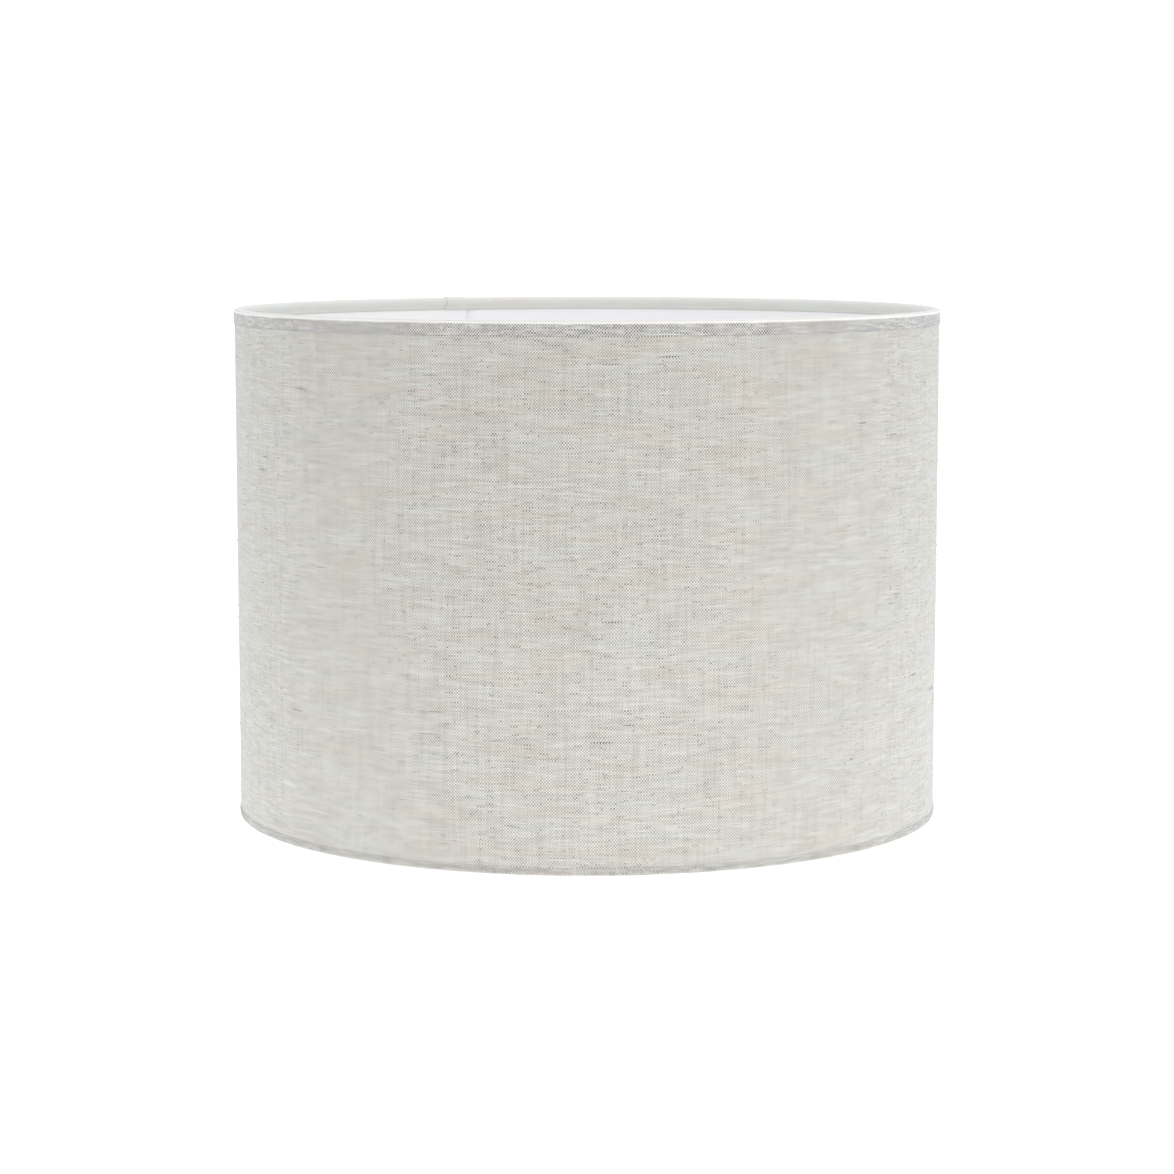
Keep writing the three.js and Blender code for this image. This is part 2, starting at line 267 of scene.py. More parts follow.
class NodeRecipe:
    """A Geometry Nodes tree with named inputs, run once on an object and then used up."""

    def __init__(self, name: str, inputs: dict[str, str]) -> None:
        """Starts a tree.

        Args:
            name: the tree's name.
            inputs: each named input's socket type.
        """
        self.tree = bpy.data.node_groups.new(name, "GeometryNodeTree")
        self.tree.interface.new_socket("Geometry", in_out="INPUT", socket_type="NodeSocketGeometry")
        self.tree.interface.new_socket("Geometry", in_out="OUTPUT", socket_type="NodeSocketGeometry")
        for label, kind in inputs.items():
            self.tree.interface.new_socket(label, in_out="INPUT", socket_type=kind)
        self.given = self.tree.nodes.new("NodeGroupInput").outputs

    def add(self, kind: str, inputs: Inputs | None = None, **settings: object) -> bpy.types.Node:
        """Adds a node to this tree, as add_node does."""
        return add_node(self.tree, kind, inputs, **settings)

    def finish(self, geometry: bpy.types.NodeSocket, material: bpy.types.Material) -> None:
        """Ends the tree: smooth shading, Realize Instances and Set Material.

        Args:
            geometry: the socket that gives the finished shape.
            material: the piece's material.
        """
        shaded = self.add("GeometryNodeSetShadeSmooth", {"Geometry": geometry})
        real = self.add("GeometryNodeRealizeInstances", {"Geometry": shaded.outputs[0]})
        painted = self.add("GeometryNodeSetMaterial", {"Geometry": real.outputs[0], "Material": material})
        self.add("NodeGroupOutput", {"Geometry": painted.outputs[0]})

    def run(
        self, name: str, values: dict[str, float | int], path: np.ndarray | None = None
    ) -> bpy.types.Object:
        """Runs the tree and returns its result as a plain mesh object.

        Args:
            name: the finished piece's name.
            values: each named input's value.
            path: the points of the line that the tree follows, if it follows one.

        Returns:
            The piece.
        """
        mesh = bpy.data.meshes.new(name + "_path")
        if path is not None:
            mesh.from_pydata(path.tolist(), [(i, i + 1) for i in range(len(path) - 1)], [])
        carrier = bpy.data.objects.new(name + "_carrier", mesh)
        bpy.context.scene.collection.objects.link(carrier)
        modifier = carrier.modifiers.new("recipe", "NODES")
        modifier.node_group = self.tree
        for item in self.tree.interface.items_tree:
            if item.in_out == "INPUT" and item.name in values:
                modifier[item.identifier] = values[item.name]
        return as_plain_mesh(carrier, name)


# ---------------------------------------------------------------------------------------------------------
# Finishes
# ---------------------------------------------------------------------------------------------------------


def new_material(name: str) -> tuple[bpy.types.Material, bpy.types.NodeTree, bpy.types.Node]:
    """Makes a material with one Principled shader.

    Args:
        name: the material's name.

    Returns:
        The material, its node tree and the shader.
    """
    material = bpy.data.materials.new(name)
    material.use_nodes = True
    tree = material.node_tree
    tree.nodes.clear()
    shader = add_node(tree, "ShaderNodeBsdfPrincipled")
    add_node(tree, "ShaderNodeOutputMaterial", {"Surface": shader.outputs[0]})
    return material, tree, shader


THREAD_EDGE = 0.3  # how soft the change from one thread to the other is
THREAD_ROUNDNESS = 0.6  # the power that gives a thread its round top
WEAVE_BUMP = 0.45
GAP_BELOW = 0.75  # the height under which painted shade darkens a thread's side towards the gap
WEFT_APART = 7.31  # how far apart in the noise two lying threads are
WARP_APART = 5.17  # and two standing ones
WARP_TONES_AT = (0.32, 0.6)  # the noise values of a standing thread's two tones
TAN_PLACE = (40, 70, 0)  # where in the noise the tan stretches start
PATCH_SCALE = 0.9  # a patch's noise is this much wider than its stated length
PATCH_FADE = 0.06  # how fast a patch fades in, in the noise's values
DYE_RANGE = (0.35, 0.65)  # the noise values at which the dye is coolest and warmest
# A strip's pale crest is a painted highlight. Its inside tone is painted light, a little darker where the
# drum shades it.
CREST_FADE = (0.6, 0.5)  # millimetres before and after a crest's start in which it turns pale
CREST_WIDTH = (4.5, 6.5)  # millimetres past a crest's start at which it turns to the inside's tone
CREST_SHARE = 0.88  # how much of the pale tone shows
RAW_EDGE = (0.9, 0.2)  # millimetres from a strip's edge where its shade starts and is full


@dataclass(frozen=True)
class WovenLinen:
    """Plain-woven linen: pale warp threads standing up, flax-coloured weft threads running round the drum.

    Each thread passes over one and under the next, so the eye sees a fine checker of pale and flax. The weft
    is hand-spun in look: every thread has its own tone, which changes along it in dashes and slubs.
    """

    name: str
    warp_pitch: float = 0.68  # millimetres from one standing thread to the next
    weft_pitch: float = 0.76  # millimetres from one lying thread to the next
    warp: tuple[str, str] = ("bfbfbb", "d1d1ce")
    weft: tuple[str, str, str] = ("89827a", "a5a097", "c0bdb6")
    spread: float = 0.19  # how far the noise goes from the middle before the weft is at its darkest or palest
    warp_stretch: float = 34.0  # millimetres over which a standing thread's tone changes
    dash: float = 17.0  # millimetres over which a lying thread's tone changes
    wander: float = 1.3  # millimetres that the threads leave their straight lines
    wander_size: tuple[float, float] = (16.0, 11.0)  # millimetres over which they do so, along and across
    fleck: str = "5f5148"
    fleck_length: float = 5.0  # millimetres
    fleck_above: float = 0.64  # the noise value that starts a fleck, so a lower one makes more of them
    fleck_share: float = 0.75  # how much of the fleck's colour shows at most
    tan: str = "c08d5c"
    tan_size: tuple[float, float] = (17.0, 2.6)  # millimetres, along and across
    tan_above: float = 0.735
    tan_share: float = 0.36
    cool: tuple[float, float, float] = (0.997, 1.008, 1.0)  # how the dye shifts where it is coolest
    warm: tuple[float, float, float] = (1.0, 0.966, 0.938)  # and where it is warmest
    dye_size: tuple[float, float] = (48.0, 8.0)  # millimetres over which it shifts, along and across
    gap_shade: float = 0.88  # how dark the painted shade in the gaps between threads is
    relief: float = 0.16  # millimetres that a thread stands up
    raw_edges: tuple[float, float] | None = None  # a strip's width in millimetres, and the painted shade on its raw edges, a painted highlight where above 1
    crest: float = 0.0  # how far across a strip the fold's crest starts, in millimetres
    # The painted highlight on the fold's crest, and the painted light on the part tucked inside.
    crest_highlight_tone: str = "f3f3f2"
    inside_light_tone: str = "e2e2de"
    toned: bool = False  # whether the weft's tone is the TONE attribute and not noise

    def material(self) -> bpy.types.Material:
        """Builds the finish.

        Returns:
            The material.
        """
        material, tree, shader = new_material(self.name)
        cloth = add_node(tree, "ShaderNodeAttribute", attribute_name=CLOTH).outputs["Vector"]
        threads = self._wandering(tree, cloth)
        checker, height = self._weave(tree, threads)
        weft = self._weft_colour(tree, cloth, threads)
        warp = self._warp_colour(tree, cloth, threads)
        over = add_node(
            tree, "ShaderNodeMapRange",
            {"Value": checker, "From Min": -THREAD_EDGE, "From Max": THREAD_EDGE},
            interpolation_type="SMOOTHSTEP",
        )
        cloth_colour = add_node(
            tree, "ShaderNodeMix", {0: over.outputs[0], "A": warp, "B": weft}, data_type="RGBA"
        )
        shaded = self._shaded(tree, cloth, cloth_colour.outputs["Result"], height)
        bump = add_node(
            tree, "ShaderNodeBump",
            {"Height": height, "Strength": WEAVE_BUMP, "Distance": self.relief * MM},
        )
        tree.links.new(shaded, shader.inputs["Base Color"])
        tree.links.new(bump.outputs[0], shader.inputs["Normal"])
        # Dry plant fibre: nearly no gloss, and a faint halo of loose hairs at a flat angle.
        shader.inputs["Roughness"].default_value = 0.88
        shader.inputs["Specular IOR Level"].default_value = 0.25
        shader.inputs["Sheen Weight"].default_value = 0.34
        shader.inputs["Sheen Roughness"].default_value = 0.45
        shader.inputs["Sheen Tint"].default_value = linear("e2f0f4")
        return material

    def _wandering(self, tree: bpy.types.NodeTree, cloth: bpy.types.NodeSocket) -> bpy.types.NodeSocket:
        """Counts the threads across and up, each wandering a little from its straight line.

        Args:
            tree: the material's nodes.
            cloth: the place on the flat cloth, in millimetres.

        Returns:
            The thread counts as a vector.
        """
        per_patch = (1 / self.wander_size[0], 1 / self.wander_size[1], 0)
        slow = add_node(tree, "ShaderNodeVectorMath", {0: cloth, 1: per_patch}, operation="MULTIPLY")
        drift = add_node(tree, "ShaderNodeTexNoise", {"Vector": slow.outputs[0], "Scale": 1.0, "Detail": 2.0})
        reach = (self.wander, self.wander, 0)
        moved = add_node(
            tree, "ShaderNodeVectorMath", {0: drift.outputs["Color"], 1: reach, 2: cloth},
            operation="MULTIPLY_ADD",
        )
        per_thread = (1 / self.warp_pitch, 1 / self.weft_pitch, 0)
        return add_node(
            tree, "ShaderNodeVectorMath", {0: moved.outputs[0], 1: per_thread}, operation="MULTIPLY"
        ).outputs[0]

    def _weave(
        self, tree: bpy.types.NodeTree, threads: bpy.types.NodeSocket
    ) -> tuple[bpy.types.NodeSocket, bpy.types.NodeSocket]:
        """Works out which thread is on top, and how high the cloth stands.

        Args:
            tree: the material's nodes.
            threads: the thread counts.

        Returns:
            The checker, above 0 where the weft is on top, and the height from 0 to 1.
        """
        turn = add_node(tree, "ShaderNodeVectorMath", {0: threads, "Scale": math.pi}, operation="SCALE")
        wave = add_node(tree, "ShaderNodeVectorMath", {0: turn.outputs[0]}, operation="SINE")
        parts = add_node(tree, "ShaderNodeSeparateXYZ", {0: wave.outputs[0]})
        checker = add_node(
            tree, "ShaderNodeMath", {0: parts.outputs[0], 1: parts.outputs[1]}, operation="MULTIPLY"
        ).outputs[0]
        size = add_node(tree, "ShaderNodeMath", {0: checker}, operation="ABSOLUTE")
        height = add_node(
            tree, "ShaderNodeMath", {0: size.outputs[0], 1: THREAD_ROUNDNESS}, operation="POWER"
        )
        return checker, height.outputs[0]

    def _weft_colour(
        self, tree: bpy.types.NodeTree, cloth: bpy.types.NodeSocket, threads: bpy.types.NodeSocket
    ) -> bpy.types.NodeSocket:
        """Colours the lying threads, each with its own dashes, dark flecks and tan stretches.

        Args:
            tree: the material's nodes.
            cloth: the place on the flat cloth.
            threads: the thread counts.

        Returns:
            The colour.
        """
        number = self._number(tree, threads, (0, WEFT_APART, 0))
        if self.toned:
            tone = add_node(tree, "ShaderNodeAttribute", attribute_name=TONE).outputs["Fac"]
        else:
            dash = self._along(tree, cloth, (1 / self.dash, 0, 0), number)
            tone = add_node(
                tree, "ShaderNodeTexNoise", {"Vector": dash, "Scale": 1.0, "Detail": 3.0, "Roughness": 0.6}
            ).outputs["Fac"]
        ramp = add_node(tree, "ShaderNodeValToRGB", {0: tone})
        set_stops(ramp, list(zip((0.5 - self.spread, 0.5, 0.5 + self.spread), self.weft)))
        if self.toned:
            return ramp.outputs[0]
        short = self._along(tree, cloth, (1 / self.fleck_length, 0, 0), number)
        flecked = self._patch(
            tree, ramp.outputs[0], short, self.fleck_above, self.fleck, self.fleck_share
        )
        stretch = self._along(tree, cloth, (1 / self.tan_size[0], 1 / self.tan_size[1], 0), TAN_PLACE)
        return self._patch(tree, flecked, stretch, self.tan_above, self.tan, self.tan_share)

    def _number(
        self, tree: bpy.types.NodeTree, threads: bpy.types.NodeSocket, apart: tuple[float, float, float]
    ) -> bpy.types.NodeSocket:
        """Gives each thread its own far-off place in a noise, so that no two are alike.

        Args:
            tree: the material's nodes.
            threads: the thread counts.
            apart: how far apart in the noise neighbours lie.

        Returns:
            The place.
        """
        whole = add_node(tree, "ShaderNodeVectorMath", {0: threads}, operation="FLOOR").outputs[0]
        return add_node(tree, "ShaderNodeVectorMath", {0: whole, 1: apart}, operation="MULTIPLY").outputs[0]

    def _along(
        self, tree: bpy.types.NodeTree, cloth: bpy.types.NodeSocket, scale: tuple[float, float, float],
        start: bpy.types.NodeSocket | tuple[float, float, float],
    ) -> bpy.types.NodeSocket:
        """Scales the place on the cloth and moves it to a noise's own start.

        Args:
            tree: the material's nodes.
            cloth: the place on the flat cloth.
            scale: how much of the noise one millimetre covers.
            start: where in the noise it starts.

        Returns:
            The place in the noise.
        """
        return add_node(
            tree, "ShaderNodeVectorMath", {0: cloth, 1: scale, 2: start}, operation="MULTIPLY_ADD"
        ).outputs[0]

    def _patch(
        self, tree: bpy.types.NodeTree, colour: bpy.types.NodeSocket, place: bpy.types.NodeSocket,
        above: float, patch: str, share: float,
    ) -> bpy.types.NodeSocket:
        """Lays rare patches of another colour over a colour.

        Args:
            tree: the material's nodes.
            colour: the colour underneath.
            place: where the noise is read.
            above: the noise value that starts a patch.
            patch: the patch's hex colour.
            share: how much of it shows at most.

        Returns:
            The mixed colour.
        """
        noise = add_node(tree, "ShaderNodeTexNoise", {"Vector": place, "Scale": PATCH_SCALE, "Detail": 1.0})
        mask = add_node(
            tree, "ShaderNodeMapRange",
            {"Value": noise.outputs["Fac"], "From Min": above, "From Max": above + PATCH_FADE,
             "To Max": share},
            interpolation_type="SMOOTHSTEP",
        )
        return add_node(
            tree, "ShaderNodeMix", {0: mask.outputs[0], "A": colour, "B": linear(patch)}, data_type="RGBA"
        ).outputs["Result"]

    def _warp_colour(
        self, tree: bpy.types.NodeTree, cloth: bpy.types.NodeSocket, threads: bpy.types.NodeSocket
    ) -> bpy.types.NodeSocket:
        """Colours the standing threads, even along their length but each with its own tone.

        Args:
            tree: the material's nodes.
            cloth: the place on the flat cloth.
            threads: the thread counts.

        Returns:
            The colour.
        """
        number = self._number(tree, threads, (WARP_APART, 0, 0))
        place = self._along(tree, cloth, (0, 1 / self.warp_stretch, 0), number)
        noise = add_node(tree, "ShaderNodeTexNoise", {"Vector": place, "Scale": 1.0, "Detail": 2.0})
        ramp = add_node(tree, "ShaderNodeValToRGB", {0: noise.outputs["Fac"]})
        set_stops(ramp, list(zip(WARP_TONES_AT, self.warp)))
        return ramp.outputs[0]

    def _shaded(
        self, tree: bpy.types.NodeTree, cloth: bpy.types.NodeSocket, colour: bpy.types.NodeSocket,
        height: bpy.types.NodeSocket,
    ) -> bpy.types.NodeSocket:
        """Paints shade into the gaps between threads, and lets the dye vary from place to place.

        Args:
            tree: the material's nodes.
            cloth: the place on the flat cloth.
            colour: the threads' colour.
            height: how high the cloth stands, from 0 to 1.

        Returns:
            The finished colour.
        """
        shade = add_node(
            tree, "ShaderNodeMapRange",
            {"Value": height, "From Max": GAP_BELOW, "To Min": self.gap_shade},
        ).outputs[0]
        per_cloud = (1 / self.dye_size[0], 1 / self.dye_size[1], 0)
        wide = add_node(tree, "ShaderNodeVectorMath", {0: cloth, 1: per_cloud}, operation="MULTIPLY")
        cloud = add_node(tree, "ShaderNodeTexNoise", {"Vector": wide.outputs[0], "Scale": 1.0, "Detail": 3.0})
        least, most = ((value,) * 3 for value in DYE_RANGE)
        dye = add_node(
            tree, "ShaderNodeMapRange",
            {"Vector": cloud.outputs["Fac"], 7: least, 8: most, 9: self.cool, 10: self.warm},
            data_type="FLOAT_VECTOR",
        ).outputs[1]
        if self.raw_edges:
            colour, shade = self._paint_fold_and_edge_light(tree, cloth, colour, shade)
        dyed = add_node(tree, "ShaderNodeVectorMath", {0: colour, 1: dye}, operation="MULTIPLY")
        return add_node(
            tree, "ShaderNodeVectorMath", {0: dyed.outputs[0], "Scale": shade}, operation="SCALE"
        ).outputs[0]

    def _paint_fold_and_edge_light(
        self, tree: bpy.types.NodeTree, cloth: bpy.types.NodeSocket, colour: bpy.types.NodeSocket,
        shade: bpy.types.NodeSocket,
    ) -> tuple[bpy.types.NodeSocket, bpy.types.NodeSocket]:
        """Paints a highlight on the strip's fold and light on its tucked part, and paints shade on its raw
        edges.

        Args:
            tree: the material's nodes.
            cloth: the place on the flat strip.
            colour: the threads' colour.
            shade: the gaps' shade.

        Returns:
            The colour and the shade.
        """
        width, dark = self.raw_edges
        across = add_node(tree, "ShaderNodeSeparateXYZ", {0: cloth}).outputs[1]
        past = add_node(
            tree, "ShaderNodeMapRange",
            {"Value": across, "From Min": self.crest + CREST_WIDTH[0],
             "From Max": self.crest + CREST_WIDTH[1]},
        )
        tone = add_node(
            tree, "ShaderNodeMix",
            {0: past.outputs[0], "A": linear(self.crest_highlight_tone), "B": linear(self.inside_light_tone)},
            data_type="RGBA",
        )
        # Painted highlight over the crest and painted light on the tucked part, laid over the threads'
        # colour.
        pale = add_node(
            tree, "ShaderNodeMapRange",
            {"Value": across, "From Min": self.crest - CREST_FADE[0],
             "From Max": self.crest + CREST_FADE[1], "To Max": CREST_SHARE},
            interpolation_type="SMOOTHSTEP",
        ).outputs[0]
        colour = add_node(
            tree, "ShaderNodeMix", {0: pale, "A": colour, "B": tone.outputs["Result"]}, data_type="RGBA"
        ).outputs["Result"]
        # The painted highlight also washes out the painted shade in the gaps.
        shade = add_node(tree, "ShaderNodeMix", {0: pale, 2: shade, 3: 1.0}).outputs[0]
        # Painted shade along both raw edges where the factor is below 1, a painted highlight where it is
        # above.
        middle = add_node(tree, "ShaderNodeMath", {0: across, 1: width / 2}, operation="SUBTRACT")
        off = add_node(tree, "ShaderNodeMath", {0: middle.outputs[0]}, operation="ABSOLUTE")
        edge = add_node(
            tree, "ShaderNodeMapRange",
            {"Value": off.outputs[0], "From Min": width / 2 - RAW_EDGE[0],
             "From Max": width / 2 - RAW_EDGE[1], "To Min": 1.0, "To Max": dark},
        )
        shade = add_node(tree, "ShaderNodeMath", {0: shade, 1: edge.outputs[0]}, operation="MULTIPLY")
        return colour, shade.outputs[0]


CLOUD_SCALE = 18.0  # clouds to a metre in a smooth finish's colour
CLOUD_RANGE = (0.3, 0.7)  # the noise values at which the colour is darkest and palest
UNEVEN_GLOSS = 0.06  # how far the roughness goes either way
GRAIN_BUMP = 0.5


@dataclass(frozen=True)
class SmoothFinish:
    """A plain finish with a fine texture in its surface: sheet plastic, film, powder coat or moulding."""

    name: str
    colour: str
    roughness: float
    texture_size: float  # millimetres from one bump to the next
    texture_depth: float  # millimetres
    variation: float = 0.02  # how much darker the darkest places are
    coat: float = 0.0

    def material(self) -> bpy.types.Material:
        """Builds the finish.

        Returns:
            The material.
        """
        material, tree, shader = new_material(self.name)
        place = add_node(tree, "ShaderNodeTexCoord").outputs["Object"]
        grain = add_node(
            tree, "ShaderNodeTexNoise",
            {"Vector": place, "Scale": 1 / (self.texture_size * MM), "Detail": 2.0},
        ).outputs["Fac"]
        cloud = add_node(tree, "ShaderNodeTexNoise", {"Vector": place, "Scale": CLOUD_SCALE, "Detail": 3.0})
        level = add_node(
            tree, "ShaderNodeMapRange",
            {"Value": cloud.outputs["Fac"], "From Min": CLOUD_RANGE[0], "From Max": CLOUD_RANGE[1],
             "To Min": 1 - self.variation, "To Max": 1.0},
        ).outputs[0]
        colour = add_node(
            tree, "ShaderNodeVectorMath", {0: linear(self.colour)[:3], "Scale": level}, operation="SCALE"
        )
        rough = add_node(
            tree, "ShaderNodeMapRange",
            {"Value": grain, "To Min": self.roughness - UNEVEN_GLOSS,
             "To Max": self.roughness + UNEVEN_GLOSS},
        )
        bump = add_node(
            tree, "ShaderNodeBump",
            {"Height": grain, "Strength": GRAIN_BUMP, "Distance": self.texture_depth * MM},
        )
        tree.links.new(colour.outputs[0], shader.inputs["Base Color"])
        tree.links.new(rough.outputs[0], shader.inputs["Roughness"])
        tree.links.new(bump.outputs[0], shader.inputs["Normal"])
        shader.inputs["Coat Weight"].default_value = self.coat
        return material


class Finishes:
    """The shade's finishes, each named for what it is and how its surface was made."""

    def __init__(self) -> None:
        """Builds every material once."""
        # Natural linen, plain woven from undyed flax: matt, a fine checker of pale and flax, with dashes.
        self.cover = WovenLinen("natural_linen_woven").material()
        # The same flax where it was spun thick: darker to paler swellings, one tone to each.
        self.slubs = WovenLinen(
            "natural_linen_slub", weft=("5a4c41", "96867a", "c4b9aa"), spread=0.4, toned=True
        ).material()
        strip = replace(
            WovenLinen("natural_linen_top_strip"), wander=0.3, dash=11.0, spread=0.15, fleck_length=4.0,
            fleck_above=0.58, tan_share=0.1,
        )
        # The same linen cut into a strip and pulled tight over the edge: greyer outside, with a painted
        # highlight on the fold, painted light on the part tucked inside, a little darker than the fold, and
        # painted shade along its raw edges.
        self.top_strip = replace(
            strip, warp=("bfbebd", "d4d3d2"), weft=("504d48", "8b8885", "bdbbb8"), raw_edges=(18.3, 0.82),
            crest=5.8,
        ).material()
        # And round the foot: a dimmer painted highlight on the fold, and a painted highlight along its raw
        # edges.
        self.bottom_strip = replace(
            strip, name="natural_linen_bottom_strip", warp=("b0afac", "cac9c6"),
            weft=("625e59", "8f8c86", "b4b2ad"), fleck_above=0.62, raw_edges=(15.3, 1.15), crest=3.4,
            crest_highlight_tone="e9e9e7",
        ).material()
        # Styrene sheet, rolled: white, slightly cool, satin, with the faint orange peel of the roll.
        self.styrene = SmoothFinish(
            "white_styrene_rolled", "f4f4f5", roughness=0.42, texture_size=6.0, texture_depth=0.02
        ).material()
        # Adhesive film, cast: clear and glossy, slightly yellow.
        self.film = SmoothFinish(
            "adhesive_film_clear", "e9e6da", roughness=0.25, texture_size=3.0, texture_depth=0.01
        ).material()
        # Powder coat, baked on steel wire: white, satin, with the fine orange peel of the melted powder.
        self.powder = SmoothFinish(
            "white_powder_coat", "efefec", roughness=0.38, texture_size=0.7, texture_depth=0.04,
            variation=0.04, coat=0.15,
        ).material()
        # Polypropylene, moulded: white, waxy, with the light spark texture of its mould.
        self.moulding = SmoothFinish(
            "white_polypropylene_moulded", "f0efe9", roughness=0.45, texture_size=0.5, texture_depth=0.03
        ).material()


# ---------------------------------------------------------------------------------------------------------
# The drum
# ---------------------------------------------------------------------------------------------------------


@dataclass(frozen=True)
class Lap:
    """The seam, where the rolled sheet laps over its own inner end."""

    azimuth: float = math.radians(112.5)
    width: float = 14 * MM
    climb: float = 6 * MM  # the length over which the outer end climbs on to the inner one
    rise: float = 1.35 * MM  # the two layers, the tape and the glue lines
    step_run: float = 2 * MM  # the length over which a binding comes down past the outer end

    def sheet_rise(self, along: np.ndarray, radius: float) -> np.ndarray:
        """How far outwards the sheet stands at a length along it.

        Args:
            along: the arc length from the sheet's inner end.
            radius: the drum's radius.

        Returns:
            The distance outwards.
        """
        turn = FULL_TURN * radius
        return self.rise * smooth(along, turn - self.climb, turn)

    def edge_rise(self, along: np.ndarray, radius: float) -> np.ndarray:
        """How far outwards a binding is pushed by the lap that it passes over.

        Args:
            along: the arc length round the drum from the seam.
            radius: the drum's radius.

        Returns:
            The distance outwards.
        """
        turn = FULL_TURN * radius
        place = np.mod(along, turn)
        down = 1 - smooth(place, self.width, self.width + self.step_run)
        up = smooth(place, turn - self.climb, turn)
        return self.rise * np.where(place < turn / 2, down, up)


